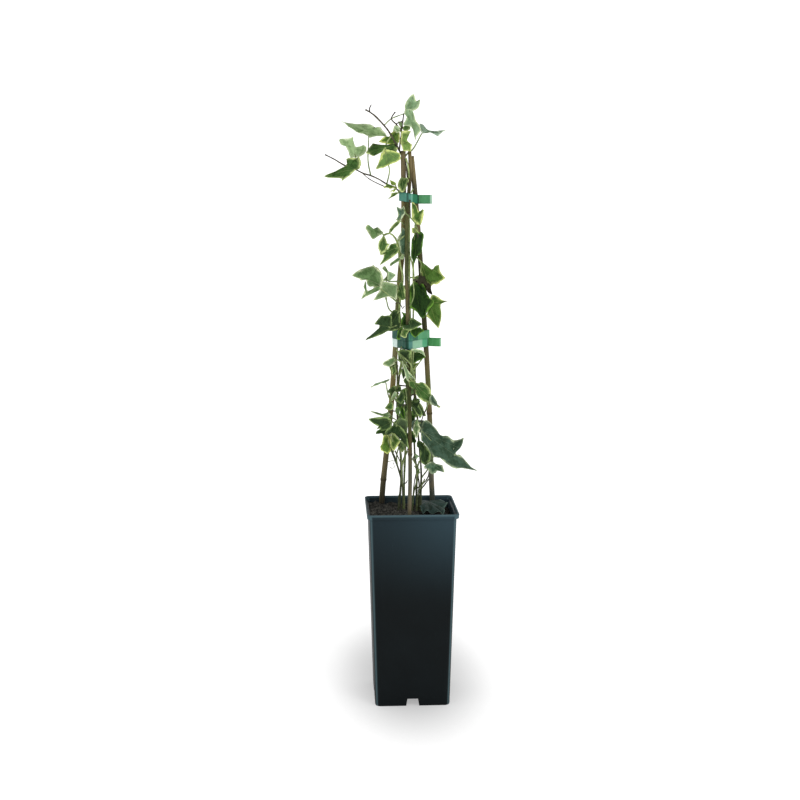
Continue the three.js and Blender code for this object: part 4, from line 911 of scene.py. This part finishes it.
leftLeaves = [
    leaf("deep", (-25, -15, 573), [(-24, 570), (-14, -14, 580), (-14, -14, 583), (-18, 582), (-24, 576),
        (-26, 572), (-27, 568)]),
    leaf("grey", (-34, -17, 567), [(-35, 570), (-38, 573), (-40, -11, 576), (-43, 574), (-46, 573),
        (-48, 576), (-52, -22, 578), (-54, 576), (-53, 571), (-48, 563), (-46, -31, 562), (-42, 563),
        (-34, 568)]),
    leaf("deep", (-33, -18, 565), [(-35, 563), (-38, 560), (-40, 554), (-39, 549), (-37, -23, 544),
        (-32, 547), (-26, -20, 556), (-29, 557), (-33, 566)]),
    leaf("deep", (-16, -13, 552), [(-16, 552), (-18, 557), (-22, 556), (-26, 554), (-34, 546),
        (-38, -24, 544), (-36, 543), (-33, 544), (-34, 540), (-38, -26, 531), (-16, 546)]),
    leaf("grey", (-14, -10, 537), [(-18, 538), (-25, 533), (-26, 530), (-24, -12, 530), (-13, 537),
        (-13, 540)]),
    leaf("grey", (-35, -16, 507), [(-34, 512), (-34, 516), (-38, 526), (-44, 530), (-48, -12, 530),
        (-62, 526), (-70, -26, 520), (-64, 516), (-60, 514), (-55, 514), (-52, 508), (-47, -22, 506),
        (-42, 505), (-37, 506)], [(-14, -6, 470), (-26, -10, 478), (-30, -13, 490)]),
    leaf("grey", (-30, -14, 511), [(-32, 512), (-34, 513), (-29, 519), (-30, 522), (-34, 526), (-34, 528),
        (-32, -7, 530), (-30, 528), (-26, 520), (-28, 513)], [(-30, -13, 490), (-31, -14, 501)],
        middle=(-26, 520)),
    leaf("grey", (-34, -18, 508), [(-34, 512), (-18, -16, 508), (-17, 506), (-18, 496), (-18, -24, 491),
        (-28, 494), (-46, -26, 490), (-38, 502)], [(-30, -13, 490), (-32, -15, 499)]),
    leaf("deep", (-14, -13, 509), [(-8, 500), (-8, 502), (-12, -14, 512), (-16, 506), (-16, 502),
        (-19, -17, 496), (-14, 491), (-10, -22, 490), (-8, 492)]),
    leaf("dark", (-24, -20, 458), [(-24, 458), (-24, 470), (-26, 472), (-33, 472), (-37, 472),
        (-44, -22, 462), (-39, 462), (-38, 460), (-39, 458), (-42, 454), (-56, -32, 444), (-36, 450),
        (-30, 453)]),
    leaf("dark", (-15, -10, 477), [(-14, 457), (-14, 464), (-14, 472), (-16, -10, 477), (-21, 478),
        (-24, 475), (-26, 472), (-28, 467), (-28, -13, 453), (-18, 454)]),
    leaf("grey", (-18, -16, 418), [(-21, -16, 423), (-32, 418), (-34, 416), (-35, -22, 414),
        (-28, -22, 411), (-21, 414), (-19, 418), (-19, 420)]),
    leaf("pale", (-31, -14, 392), [(-28, 392), (-26, -2, 394), (-44, 390), (-49, -16, 386), (-36, 390)],
        [(-24, -11, 367), (-28, -12, 377)]),
    leaf("deep", (-16, -12, 411), [(-24, -14, 410), (-23, -16, 400)]),
    leaf("dark", (-19, -14, 369), [(-19, 370), (-13, -16, 366), (-8, 373), (-9, 378), (-11, -17, 382),
        (-16, 376), (-18, 372)]),
    leaf("deep", (-23, -12, 367), [(-22, 360), (-22, 365), (-25, -12, 368), (-28, 366), (-32, -16, 361),
        (-27, 358)]),
    leaf("grey", (-23, -12, 351), [(-28, -12, 356), (-33, 354), (-38, 355), (-50, -20, 358), (-36, 352),
        (-34, 350), (-32, -19, 348), (-27, 349), (-26, 353)]),
    leaf("dark", (-24, -18, 345), [(-24, 343), (-25, 348), (-30, 351), (-34, 352), (-49, 351),
        (-52, -28, 350), (-48, 346), (-42, 342), (-40, 341), (-42, -31, 338), (-38, 338), (-36, 336),
        (-25, -24, 338)]),
    leaf("dark", (-19, -22, 343), [(-32, 335), (-32, -27, 330), (-28, 332), (-23, 332), (-20, 330),
        (-13, 325), (-5, -40, 316), (-6, 324), (-8, 334), (-14, 340), (-18, 342), (-22, 342), (-28, 338)]),
    leaf("green", (-30, -22, 331), [(-33, -23, 330), (-34, 328), (-36, 320), (-38, 316), (-37, -28, 312),
        (-30, -30, 308), (-27, 310), (-26, 312), (-27, 328), (-30, 330)]),
    leaf("leaf", (-23, -30, 333), [(-26, 328), (-26, 320), (-24, 314), (-21, -36, 314), (-14, -34, 324),
        (-17, 328), (-21, 332), (-24, 332)]),
    leaf("deep", (-12, -22, 455), [(-12, 455), (-14, -23, 448), (-8, -28, 446), (-5, 452), (-4, 456)]),
    leaf("dark", (-10, -22, 416), [(-8, 419), (-3, -24, 417), (-2, 424), (-2, -26, 431), (-12, 432),
        (-16, -23, 430), (-16, 426)]),
    leaf("shade", (-23, 6, 334), [(-34, 8, 338), (-42, 12, 326), (-30, 16, 322)]),
    leaf("shade", (-17, -6, 366), [(-9, -10, 369), (-7, -12, 360), (-14, -10, 357)]),
    leaf("shade", (-15, -6, 346), [(-22, -10, 341), (-19, -12, 329), (-8, -10, 332)]),
    leaf("dark", (-15, -12, 428), [(-15, -14, 417), (-8, -17, 413), (-1, -17, 424), (-9, -15, 431)]),
    leaf("dark", (-21, -6, 386), [(-28, -9, 381), (-24, -10, 371), (-17, -9, 376)]),
    leaf("pale", (-9, -28, 416), [(-12, 418), (-10, 416), (-4, 406), (4, -32, 396), (-3, 400),
        (-4, -31, 395), (-6, 396), (-8, 400)], [(-9, -5, 437), (-14, -15, 429), (-13, -24, 421)]),
    leaf("teal", (-4, -6, 568), [(-4, 568), (-11, -6, 575), (-12, 570), (-17, -9, 561), (-10, -9, 538),
        (-7, 544), (-4, 552)]),
    leaf("grey", (-9, -12, 542), [(-9, 542), (-11, -12, 544), (-14, 539), (-10, 538)]),
    leaf("shade", (-21, -14, 357), [(-19, 361), (-15, -16, 362), (-14, 357), (-16, -17, 353), (-19, 354)],
        [(-25, -11, 358)]),
    leaf("dark", (-4, -12, 365), [(-7, 366), (-10, -15, 361), (-9, 357), (-7, -14, 354), (-4, 359)],
        [(-6, -22, 366)]),
    leaf("shade", (-10, -13, 364), [(-12, 363), (-14, -15, 356), (-13, 352), (-9, -16, 348), (-8, 356)],
        [(-6, -22, 366)]),
    leaf("dark", (-21, -14, 348), [(-14, 349), (-4, -16, 345), (-5, 338), (-7, -18, 332), (-14, 334),
        (-20, 340)], [(-26, -10, 349)]),
    leaf("deep", (-25, -8, 415), [(-27, 412), (-23, -10, 401), (-18, 403), (-17, -6, 412), (-21, 415)],
        [(-21, -16, 416)]),
    leaf("dark", (-11, -8, 411), [(-12, 406), (-10, -10, 395), (-6, 400), (-4, -11, 406), (-6, 411)],
        [(-12, -6, 411)]),
    leaf("shade", (-3, -6, 403), [(-4, 396), (-5, -8, 386), (-1, 389), (1, -9, 393), (1, 399)],
        [(5, 1, 404)]),
    leaf("shade", (-5, -8, 386), [(-9, 383), (-9, -10, 375), (-5, 374), (-2, -11, 372), (-2, 380)],
        [(-15, -5, 387)]),
    leaf("dark", (-16, -6, 389), [(-19, 386), (-20, -8, 380), (-16, 379), (-12, -5, 380), (-13, 386)],
        [(-15, -5, 389)]),
    leaf("grey", (-41, -20, 506), [(-41, 506), (-50, 502), (-53, 502), (-54, 506), (-54, 510),
        (-55, -26, 513), (-57, 506), (-56, 502), (-60, -24, 491), (-56, 494), (-40, 501), (-37, 504),
        (-36, 508)], middle=(-54, 498)),
    leaf("pale", (-28, -16, 512), [(-28, 512), (-28, -13, 524), (-19, -19, 520), (-22, 516)]),
    leaf("shade", (-4, -12, 460), [(-4, 460), (-3, 468), (-4, -14, 476), (-8, 474), (-12, -14, 476),
        (-10, 472), (-12, 467), (-12, 460), (-9, 458)]),
    leaf("shade", (-16, -20, 455), [(-16, -22, 455), (-18, 449), (-18, 444), (-14, -24, 444), (-15, 448),
        (-10, 455), (-12, 458)]),
    leaf("pale", (-24, -15, 370), [(-24, 370), (-24, 374), (-20, -12, 381), (-17, -13, 377), (-22, 370)]),
]

rightStems = [
    (1.35, "brown", [(8, 17, 214), (8, 14, 255), (8, 8, 281), (5, 1, 300), (4, 2, 345), (5, 1, 400),
        (4, -3, 440)]),
    (1.2, "green", [(5, 1, 400), (4, -3, 440), (2, -11, 468), (3, -13, 490), (3, -13, 505), (2, -12, 533),
        (3, -12, 550), (4, -15, 578)]),
    (0.8, "brown", [(3, 22, 228), (5, 14, 262), (8, 8, 281)]),
    (0.8, "brown", [(8, 14, 256), (16, 16, 262), (23, 21, 270), (24, 20, 290)]),
    (0.8, "stalk", [(-9.5, -16, 596.5), (-7, -17, 591), (-3.5, -17, 588), (0, -17, 584.5), (3.5, -17, 580),
        (7.5, -15, 570.5)]),
    (1.35, "green", [(-3, -4, 603), (-2.7, -5, 581), (-2.6, -6.5, 554), (-2.4, -8.5, 525),
        (-2.6, -10.5, 501), (-2.1, -12.8, 478)]),
    (0.9, "green", [(-2, -12, 541.5), (0, -13, 534.5), (1.5, -13, 526.5), (1.5, -15, 508.5)]),
    (0.75, "stalk", [(1, -23, 510.5), (2, -25, 502), (1.5, -27, 494), (0, -28, 489.5), (-2, -26, 484.5)]),
    (0.7, "stalk", [(6, -14, 540), (10, -13, 535.5), (11.5, -12, 531), (10.5, -12, 525), (11, -11, 518)]),
    (0.9, "green", [(-1.5, -24, 431.5), (-1, -25, 422), (-1.5, -25, 411.5), (-1.5, -25, 400.5)]),
    (0.85, "stalk", [(1.5, -25, 430.5), (1, -26, 421), (0.5, -26, 411.5)]),
    (0.75, "stalk", [(11.5, -27, 421), (8, -28, 416.5), (4.5, -28, 411.5), (1, -27, 407)]),
    (0.8, "stalk", [(-8, -22, 386), (-6.5, -22, 377.5), (-6, -22, 366.5)]),
]
rightLeaves = [
    leaf("leaf", (4, -16, 578), [(6, 578), (10, -18, 578), (13, 586), (14, -18, 595), (12, 596), (8, 594),
        (4, 602), (0, -12, 604), (0, 586), (2, 582)]),
    leaf("young", (7, -12, 568), [(5, 568), (8, -12, 569), (4, -12, 574), (0, 574), (1, 568)]),
    leaf("shade", (7, -14, 567), [(-1, 546), (0, 538), (2, -22, 532), (6, 541), (11, 546), (14, 560),
        (14, -8, 567), (12, -9, 570), (4, 568), (2, 564), (0, 560)]),
    leaf("leaf", (12, -4, 534), [(12, 520), (12, 516), (14, 512), (22, -12, 505), (26, 508), (30, 508),
        (34, 512), (40, -18, 516), (34, 523), (32, -10, 531), (28, 529), (24, 526), (12, -4, 535),
        (11, 527)], [(2, -12, 540), (7, -8, 539)]),
    leaf("nearBlack", (5, -12, 511), [(8, 510), (14, 506), (20, 498), (24, -21, 497), (22, 502), (16, -12, 512),
        (7, 513), (4, 510)], middle=(14, 510)),
    leaf("nearBlack", (5, -16, 514), [(8, 517), (15, -18, 518), (17, 513), (20, -19, 508), (14, 508),
        (10, -16, 507), (6, 510)]),
    leaf("nearBlack", (16, -17, 509), [(19, 510), (23, -18, 506), (23, 502), (24, -20, 497), (20, 499),
        (17, 502)]),
    leaf("shade", (4, -16, 508), [(-2, 488), (-2, -20, 481), (4, 478), (10, -28, 470), (14, 470), (16, 473),
        (17, 476), (25, 486), (25, -24, 490), (22, 491), (20, 494), (18, 497), (15, 506), (12, 509),
        (8, -16, 510), (4, 510), (-2, 506)]),
    leaf("leaf", (22, -4, 485), [(22, 485), (18, -6, 470), (22, 467), (32, -12, 456), (34, 462), (36, 470),
        (35, 484), (44, -8, 488), (38, 489), (30, 494), (24, 495)], middle=(28, 484)),
    leaf("dark", (0, -20, 467), [(-10, 460), (-14, -26, 460), (-7, 455), (-3, -27, 455), (1, 456),
        (12, -26, 462), (6, 466), (2, 468), (-2, 467), (-4, 464), (-4, 461)]),
    leaf("shade", (5, -20, 459), [(-2, 451), (4, -27, 446), (9, 451), (14, -26, 454), (10, 458), (8, 458),
        (0, 455)]),
    leaf("shade", (1, -22, 426), [(-2, 423), (-1, -24, 416), (4, 417), (12, 421), (16, -27, 424), (10, 430),
        (4, 431), (-1, 429)], [(4, 0, 420), (4, -12, 421)]),
    leaf("green", (0, -20, 410), [(2, 404), (2, 408), (8, -24, 416), (0, 415), (-4, -20, 417), (-5, 407),
        (-2, 402)]),
    leaf("shade", (0, -3, 331), [(-7, -8, 326), (-3, -10, 314), (6, -8, 319)]),
    leaf("shade", (-1, 0, 373), [(-9, -3, 371), (-6, -5, 361), (2, -4, 363)]),
    leaf("grey", (2, -7, 418), [(-7, -12, 413), (-5, -14, 400), (3, -12, 404)]),
    leaf("deep", (-1, 0, 399), [(-9, -3, 393), (-5, -5, 381), (2, -4, 388)]),
    leaf("pale", (-2, -24, 430), [(-2, 430), (0, -25, 433), (10, 432), (13, 430), (16, -28, 424), (10, 428),
        (6, 429), (2, 429)]),
]

lowStems = [
    (1.3, "brown", [(13, 12, 214), (13, 10, 250), (13, 3, 275), (11, -8, 300), (8, -14, 330), (6, -18, 366),
        (3, -24, 382), (2, -29, 392)]),
    (0.9, "green", [(13, 5, 271), (20, -10, 285), (24, -24, 298), (24, -31, 308), (16, -33, 322),
        (11, -34, 336)]),
    (0.8, "twig", [(16.5, -26, 360), (14.5, -26, 356.5), (12.5, -26, 351.5), (10.5, -27, 344.5)]),
    (1.0, "green", [(1.5, -16, 299), (4.5, -14, 293.5), (7.5, -12, 288.5), (10, -8, 280)]),
    (0.95, "green", [(9, -22, 297.5), (7, -19, 289.5), (6.5, -15, 279), (6.5, -10, 270.5), (5, -4, 261),
        (3.5, 6, 247.5), (3, 12, 226)]),
    (1.0, "brown", [(6.5, -14, 290), (8, -10, 278), (10, -4, 264.5), (9.5, 2, 252), (10, 10, 241.5),
        (10, 14, 225.5)]),
    (0.8, "green", [(15.5, -20, 275), (12.5, -12, 265), (9.5, -2, 254), (8.5, 8, 242), (8.5, 12, 226)]),
    (0.8, "brown", [(20, -20, 274.5), (15.5, -12, 265.5), (11.5, -4, 257), (11, 8, 240.5),
        (11.5, 14, 225.5)]),
]
lowLeaves = [
    leaf("deep", (2, -29, 392), [(-4, 390), (-2, 388), (4, 387), (4, 386), (4, 380), (10, 373),
        (14, -34, 371), (18, 370), (22, 368), (26, 366), (28, 366), (31, 364), (33, -37, 365), (29, 368),
        (24, 378), (22, 380), (22, -31, 384), (18, 389), (15, 392), (10, 394), (6, 393), (-4, 396)]),
    leaf("dark", (1, -20, 366), [(-1, 364), (2, 362), (6, 354), (10, 352), (12, -28, 354), (11, 358),
        (7, 368), (10, -22, 370), (4, 371), (-1, 370)]),
    leaf("slate", (11, -34, 336), [(10, 336), (10, 330), (10, 325), (12, 324), (24, 307), (26, -42, 306),
        (30, 306), (47, 293), (58, 292), (70, 290), (76, -42, 289), (69, 294), (56, 308), (52, 308),
        (50, 312), (48, 315), (49, 317), (52, 318), (56, -41, 316), (58, 320), (60, -42, 329), (56, 327),
        (52, 326), (48, 326), (41, 331), (37, 331), (32, 332), (28, 338), (18, 348), (14, -30, 348),
        (12, 344)], middle=(43, 304)),
    leaf("grey", (3, -26, 344), [(1, -31, 333), (5, -32, 327), (10, -30, 338), (6, -26, 349)]),
    leaf("shade", (4, -12, 353), [(-3, -13, 351), (-5, -15, 340), (2, -15, 336)]),
    leaf("deep", (8, -13, 368), [(13, -14, 363), (17, -17, 352), (9, -16, 349)]),
    leaf("dark", (14, -24, 321), [(6, 322), (6, -25, 316), (10, 312), (10, 303), (12, 296), (16, -28, 293),
        (20, 297), (22, 302), (22, 308), (14, 319), (10, 322)]),
    leaf("teal", (22, -30, 297), [(20, 287), (23, -35, 284), (28, 285), (30, 288), (38, -37, 286),
        (36, -31, 294), (28, 296), (26, 298), (21, -30, 298), (14, 293), (15, -29, 289), (18, 291)]),
    leaf("shade", (-1, -12, 369), [(2, 372), (10, -14, 371), (8, 366), (10, 360), (12, -16, 350), (8, 354),
        (2, -14, 351), (0, 360)], [(6, -19, 368)]),
    leaf("dusk", (0, -19, 342), [(1, 346), (9, 347), (16, -21, 346), (17, 337), (15, -22, 329), (9, 332),
        (3, -20, 333), (0, 337)], [(7, -15, 343)]),
    leaf("slate", (19, -38, 372), [(21, 368), (29, -39, 367), (28, 372), (23, -36, 380), (20, 376)]),
    leaf("dark", (3, -26, 292), [(5, 287), (7, -28, 282), (8, 284), (9, -27, 289)], [(8, -20, 293)]),
    leaf("pale", (4, -22, 306), [(5, -24, 300), (9, -26, 304)]),
    leaf("deep", (2, -27, 398), [(4, -28, 393), (2, -24, 406), (-1, 402), (-3, 398), (-1, 395)]),
    leaf("dusk", (13, 32, 236), [(14, -12, 233), (37, -30, 235), (47, 18, 237)], [(13, 10, 246),
        (13, 22, 243)]),
]

vines = {
    "top": (topStems, topLeaves),
    "left": (leftStems, leftLeaves),
    "right": (rightStems, rightLeaves),
    "low": (lowStems, lowLeaves),
}

blade = {
    "thickness": 0.45, "hubReach": 0.4, "crown": 0.06, "rings": (0.0, 0.3, 0.55, 0.76, 0.9, 1.0),
    "pointsPerSpan": 3, "wave": 0.045, "ripples": (5, 6, 7), "crinkle": 0.7, "crinkleScale": 0.3,
    "lift": (0.75, 0.88), "fullEdgeLength": 40, "cut": 0.92,
}

# How far each kind of corner of the blade's edge is rounded off, from 0 for a sharp one to 0.5 for a bend
bends = {"tip": 0.15, "evenTip": 0.12, "notch": 0.35, "side": 0.5}

# What is kept with each point of a blade: its tone, the tone of its edge, and together its distance from
# the edge, the edge's width and a number of the leaf's own
leafLayers = ("leafTone", "leafEdge", "leafPlace")

# The distance from the edge, and the place beside and along the nearest main vein, are kept as shares of
# these lengths.
spans = {"edge": 20, "beside": 40, "along": 80}


# A point of the blade seen from the front, with a depth that follows those of its foot and tips
def onBlade(item, x, z):
    known = [item["foot"], *item["tips"]]
    shares = [1 / ((x - px) ** 2 + (z - pz) ** 2 + 4) for px, _, pz in known]
    return Vector((x, sum(s * py for s, (_, py, _) in zip(shares, known)) / sum(shares), z))


# The blade's edge: its corner points in turn round it, as arms from the foot, with how round each one is
def bladeCorners(item, tips):
    foot = Vector(item["foot"])
    if item["drawn"]:
        return [(Vector(point) - foot, bends["tip"]) if len(point) == 3
                else (onBlade(item, *point) - foot, bends["side"]) for point in item["edge"]]
    ahead = sum(tips, Vector()).normalized()
    side = bends["side"]

    def sideOf(tip):
        return [(tip * 0.42 - ahead * 0.13 * tip.length, side), (tip * 0.8 - ahead * 0.09 * tip.length, side)]

    corners = [(-0.08 * tips[0].length * ahead, bends["tip"]), *sideOf(tips[0])]
    corners.append((tips[0], bends["evenTip"]))
    for left, right in zip(tips, tips[1:]):
        notch = (left + right) * (blade["cut"] / 2)
        corners += [(notch.lerp(left, 0.6) * 1.07, side), (notch, bends["notch"]),
                    (notch.lerp(right, 0.6) * 1.07, side), (right, bends["evenTip"])]
    return corners + sideOf(tips[-1])[::-1]


def bladeEdge(corners):
    edge = []
    count = len(corners)
    for i in range(count):
        (a, _), (b, pullB), (c, pullC), (d, _) = [corners[(i + k) % count] for k in (-1, 0, 1, 2)]
        for k in range(blade["pointsPerSpan"]):
            edge.append(curvePoint(a, b, c, d, k / blade["pointsPerSpan"], pullB, pullC))
    return edge


# A flat disc of rings, made of a row of points spun round its middle
def addDisc(bm, steps):
    row = [bmesh.ops.create_vert(bm, co=(0, 0, 0))["vert"][0]]
    spokes = []
    for ring in blade["rings"][1:]:
        made = bmesh.ops.extrude_vert_indiv(bm, verts=[row[-1]])
        made["verts"][0].co = (ring, 0, 0)
        row.append(made["verts"][0])
        spokes += made["edges"]
    before = len(bm.faces)
    bmesh.ops.spin(bm, geom=row + spokes, cent=(0, 0, 0), axis=(0, 0, 1), angle=2 * pi, steps=steps,
                   use_merge=True)
    bm.faces.ensure_lookup_table()
    disc = once(v for f in bm.faces[before:] for v in f.verts)
    bmesh.ops.remove_doubles(bm, verts=disc, dist=1e-4)
    return [f for f in bm.faces[before:] if f.is_valid]


# The blade is drawn as a disc, and then each point is moved to its place between the hub and the edge.
def addBlade(bm, item, index):
    foot = Vector(item["foot"])
    tips = [Vector(tip) - foot for tip in item["tips"]]
    edge = bladeEdge(bladeCorners(item, tips))
    length = max(tip.length for tip in tips)
    up = Vector()
    for a, b in zip(edge, edge[1:] + edge[:1]):
        up += a.cross(b)
    up.normalize()
    if item["middle"]:
        hub = onBlade(item, *item["middle"]) - foot
    elif item["drawn"]:
        hub = sum(edge, Vector()) / len(edge)
    else:
        hub = sum(tips, Vector()) * (blade["hubReach"] / len(tips))
    dice = random.Random(index)
    phase = dice.uniform(0, 2 * pi)
    ripples = dice.choice(blade["ripples"])
    body, margin, width = leafTones[item["tone"]]
    width *= min(1, 0.35 + length / blade["fullEdgeLength"])
    lift = dice.uniform(*blade["lift"])
    body = [part * lift for part in hexColor(body)[:3]]
    toneLayer, edgeLayer, placeLayer = [bm.verts.layers.float_color[name] for name in leafLayers]
    veinLayer = bm.loops.layers.uv["veinPlace"]

    faces = addDisc(bm, len(edge))
    places = {}
    for vert in once(v for f in faces for v in f.verts):
        ring = vert.co.length
        spoke = round(atan2(vert.co.y, vert.co.x) / (2 * pi) * len(edge)) % len(edge)
        arm = edge[spoke]
        place = hub.lerp(arm, ring) if ring > 1e-4 else hub.copy()
        wave = blade["wave"] * length * ring ** 2 * sin(phase + ripples * 2 * pi * spoke / len(edge))
        if spoke in (0, len(edge) - 1, 1):
            wave = 0
        place += up * (blade["crown"] * length * (1 - ring * ring) + wave)
        crinkle = noise.noise_vector((place + foot) * blade["crinkleScale"])
        places[vert] = place + crinkle * blade["crinkle"] * ring ** 3
        vert[toneLayer] = (*body, 1)
        vert[edgeLayer] = hexColor(margin)
        fromEdge = (1 - ring) * (arm - hub).length
        vert[placeLayer] = (fromEdge / spans["edge"], width / 2, (index * 0.137) % 1, 1)
    for vert, place in places.items():
        vert.co = place
    for face in faces:
        face.normal_update()
        if face.normal.dot(up) < 0:
            face.normal_flip()
        middle = face.calc_center_median()
        tip = max(tips, key=lambda t: middle.dot(t.normalized()) / middle.length if middle.length else 0)
        along = tip.normalized()
        across = up.cross(along).normalized()
        for loop in face.loops:
            co = loop.vert.co
            loop[veinLayer].uv = (co.dot(across) / spans["beside"] + 0.5, co.dot(along) / spans["along"])
        face.material_index = 2 if item["tone"] == "nearBlack" else 0
    for vert in places:
        vert.co += foot
    return up, hub, length


def nearestOnRoutes(routes, foot):
    return min((p for route in routes for p in route), key=lambda p: (p - foot).length)


stemFinishes = {"green": 0, "brown": 1, "twig": 2, "stalk": 3}
stemShape = {
    "sides": 8, "ringEvery": 5, "start": 1.05, "taper": 0.25, "knot": 0.16, "knotPaces": (41, 17),
    "stalkRadius": 0.9, "stalkSides": 6, "stalkRingEvery": 2.5, "stalkStart": 1.1, "stalkTaper": 0.35,
}


# A stem thins towards its end and swells a little here and there.
def stemRadius(radius, seed):
    def at(share):
        knot = stemShape["knot"]
        for pace in stemShape["knotPaces"]:
            knot *= sin(share * pace + seed)
        return radius * (stemShape["start"] - stemShape["taper"] * share + knot)
    return at


def stalkRadius(share):
    return stemShape["stalkRadius"] * (stemShape["stalkStart"] - stemShape["stalkTaper"] * share)


def makeVine(key, leafMaterials, stemMaterials):
    stemList, leafList = vines[key]
    leaves = bmesh.new()
    for name in leafLayers:
        leaves.verts.layers.float_color.new(name)
    leaves.loops.layers.uv.new("veinPlace")
    stems = bmesh.new()
    routes = [smoothRoute(route, stemShape["ringEvery"]) for _, _, route in stemList]
    for number, ((radius, finish, _), points) in enumerate(zip(stemList, routes)):
        drawTube(stems, points, stemRadius(radius, number), stemShape["sides"], stemFinishes[finish])
    for number, item in enumerate(leafList):
        up, hub, length = addBlade(leaves, item, number + 31 * len(key))
        foot = Vector(item["foot"])
        start = [Vector(p) for p in item["stalk"]] or [nearestOnRoutes(routes, foot)]
        inside = foot + hub * 0.35 + up * blade["crown"] * length * 0.55
        points = smoothRoute([*start, foot, inside], stemShape["stalkRingEvery"])
        # stalks of shade-toned leaves take the dark twig finish, painted shade; those of near-black leaves
        # take it too
        finish = "twig" if item["tone"] in ("shade", "nearBlack") else "stalk"
        drawTube(stems, points, stalkRadius, stemShape["stalkSides"], stemFinishes[finish])
    name = "ivy" + key.capitalize()
    node = "vine_" + key
    foliage = finishPiece(name + "Leaves", leaves, leafMaterials, [node])
    thicken(foliage, blade["thickness"], under=1)
    finishPiece(name + "Stems", stems, stemMaterials, [node])


# The blade: mottled, greyer towards an uneven cream or yellow edge, with faint paler veins
def leafMaterial(name, under=False, nearBlack=False):
    shade = Shader(name)
    body, edge, stored = [shade.attribute(layer).outputs["Color"] for layer in leafLayers]
    parts = shade.put("ShaderNodeSeparateColor", {0: stored}).outputs
    rim = shade.math("MULTIPLY", parts["Red"], spans["edge"])
    width = shade.math("MULTIPLY", parts["Green"], 2.0)
    seed = shade.put("ShaderNodeCombineXYZ", {axis: parts["Blue"] for axis in range(3)}).outputs[0]
    shifted = shade.put("ShaderNodeVectorMath", {0: shade.place(), 1: seed}, operation="ADD").outputs[0]
    beside, along, _ = shade.split(shade.put("ShaderNodeUVMap", uv_map="veinPlace").outputs[0])
    across = shade.math("MULTIPLY_ADD", beside, spans["beside"], -spans["beside"] / 2)
    across = shade.math("ABSOLUTE", across)
    along = shade.math("MULTIPLY", along, spans["along"])

    # how far the edge reaches in, and the greyer zone next to it
    wander = shade.noise(shifted, 210, 3.0, 0.6)
    slow = shade.noise(shifted, 70, 1.0, 0.5)
    patch = shade.noise(shifted, 120, 2.0, 0.55)
    reach = shade.math("MULTIPLY_ADD", slow, 6.6, shade.math("MULTIPLY_ADD", wander, 4.6, -4.7))
    reach = shade.math("MAXIMUM", shade.math("MULTIPLY", reach, width), 0.15)
    past = shade.math("SUBTRACT", rim, reach)
    margin = shade.fall(past, -0.3, 0.35)
    outer = shade.fall(shade.math("MULTIPLY_ADD", patch, -5.0, past), -2.2, 0.4)
    darker = shade.mix(1.0, body, hexColor("#a3b59a"), "MULTIPLY")
    color = shade.lay(body, shade.step(patch, 0.44, 0.6), 0.75, darker)
    color = shade.lay(color, outer, 0.75, shade.mix(0.32, body, edge))

    # main veins that narrow towards the tips, side veins and a fine net
    thin = shade.math("MAXIMUM", shade.math("MULTIPLY_ADD", along, -0.008, 0.45), 0.22)
    main = shade.fall(across, 0.15, thin)
    rib = shade.math("FRACT", shade.math("MULTIPLY", shade.math("MULTIPLY_ADD", across, -1.25, along), 0.16))
    ribLine = shade.fall(shade.math("ABSOLUTE", shade.math("SUBTRACT", rib, 0.5)), 0.02, 0.08)
    net = shade.put("ShaderNodeTexVoronoi", {"Vector": shifted, "Scale": 620}, feature="DISTANCE_TO_EDGE")
    netLine = shade.fall(net.outputs["Distance"], 0.0, 0.12)
    veins = shade.math("MAXIMUM", main, shade.math("MULTIPLY", ribLine, 0.35))
    veins = shade.math("MAXIMUM", veins, shade.math("MULTIPLY", netLine, 0.12))
    color = shade.lay(color, veins, 0.45, shade.mix(0.5, color, edge))
    color = shade.lay(color, margin, 0.9, edge)
    if under:
        color = shade.mix(0.18, color, hexColor("#9bb288"))
    if nearBlack:
        color = shade.mix(0.85, color, shade.mix(patch, hexColor("#14120d"), hexColor("#3b3526")))
    relief = shade.math("MULTIPLY", veins, 1.0 if under else -1.0)
    relief = shade.math("MULTIPLY_ADD", wander, 0.5, shade.math("MULTIPLY_ADD", slow, 4.0, relief))
    shade.bump(relief, 0.0005)
    dull = under or nearBlack
    rough = shade.math("MULTIPLY_ADD", patch, 0.2, 0.65 if dull else 0.48)
    return shade.finish(color=color, roughness=rough, specular=0.06 if dull else 0.12)


def stemMaterial(name, low, high, knots):
    shade = Shader(name)
    place = shade.place()
    grain = shade.noise(shade.stretch(place, 1, 1, 0.15), 620, 3.0, 0.6)
    blotch = shade.noise(place, 130, 3.0, 0.6)
    tone = shade.mix(shade.step(blotch, 0.35, 0.68), hexColor(low), hexColor(high))
    tone = shade.lay(tone, shade.step(grain, 0.55, 0.75), 0.5, knots)
    # older and duller towards the compost
    old = shade.step(shade.split(place)["Z"], 0.4, 0.24)
    tone = shade.lay(tone, old, 0.6, "#3f4637")
    shade.bump(grain, 0.0004)
    return shade.finish(color=tone, roughness=0.66, specular=0.12)


leafMaterials = [leafMaterial("ivyUpper"), leafMaterial("ivyUnder", under=True),
                 leafMaterial("ivyNearBlack", nearBlack=True), leafMaterial("ivyNearBlackUnder", under=True, nearBlack=True)]
stemMaterials = [stemMaterial("stemGreen", "#667642", "#a0b173", "#6f6448"),
                 stemMaterial("stemBrown", "#34361f", "#5d6340", "#26231a"),
                 stemMaterial("twigDark", "#2f2b22", "#544f40", "#1f1c15"),
                 stemMaterial("stalkPale", "#5f7044", "#92a26d", "#5f5a44")]
for key in vines:
    makeVine(key, leafMaterials, stemMaterials)
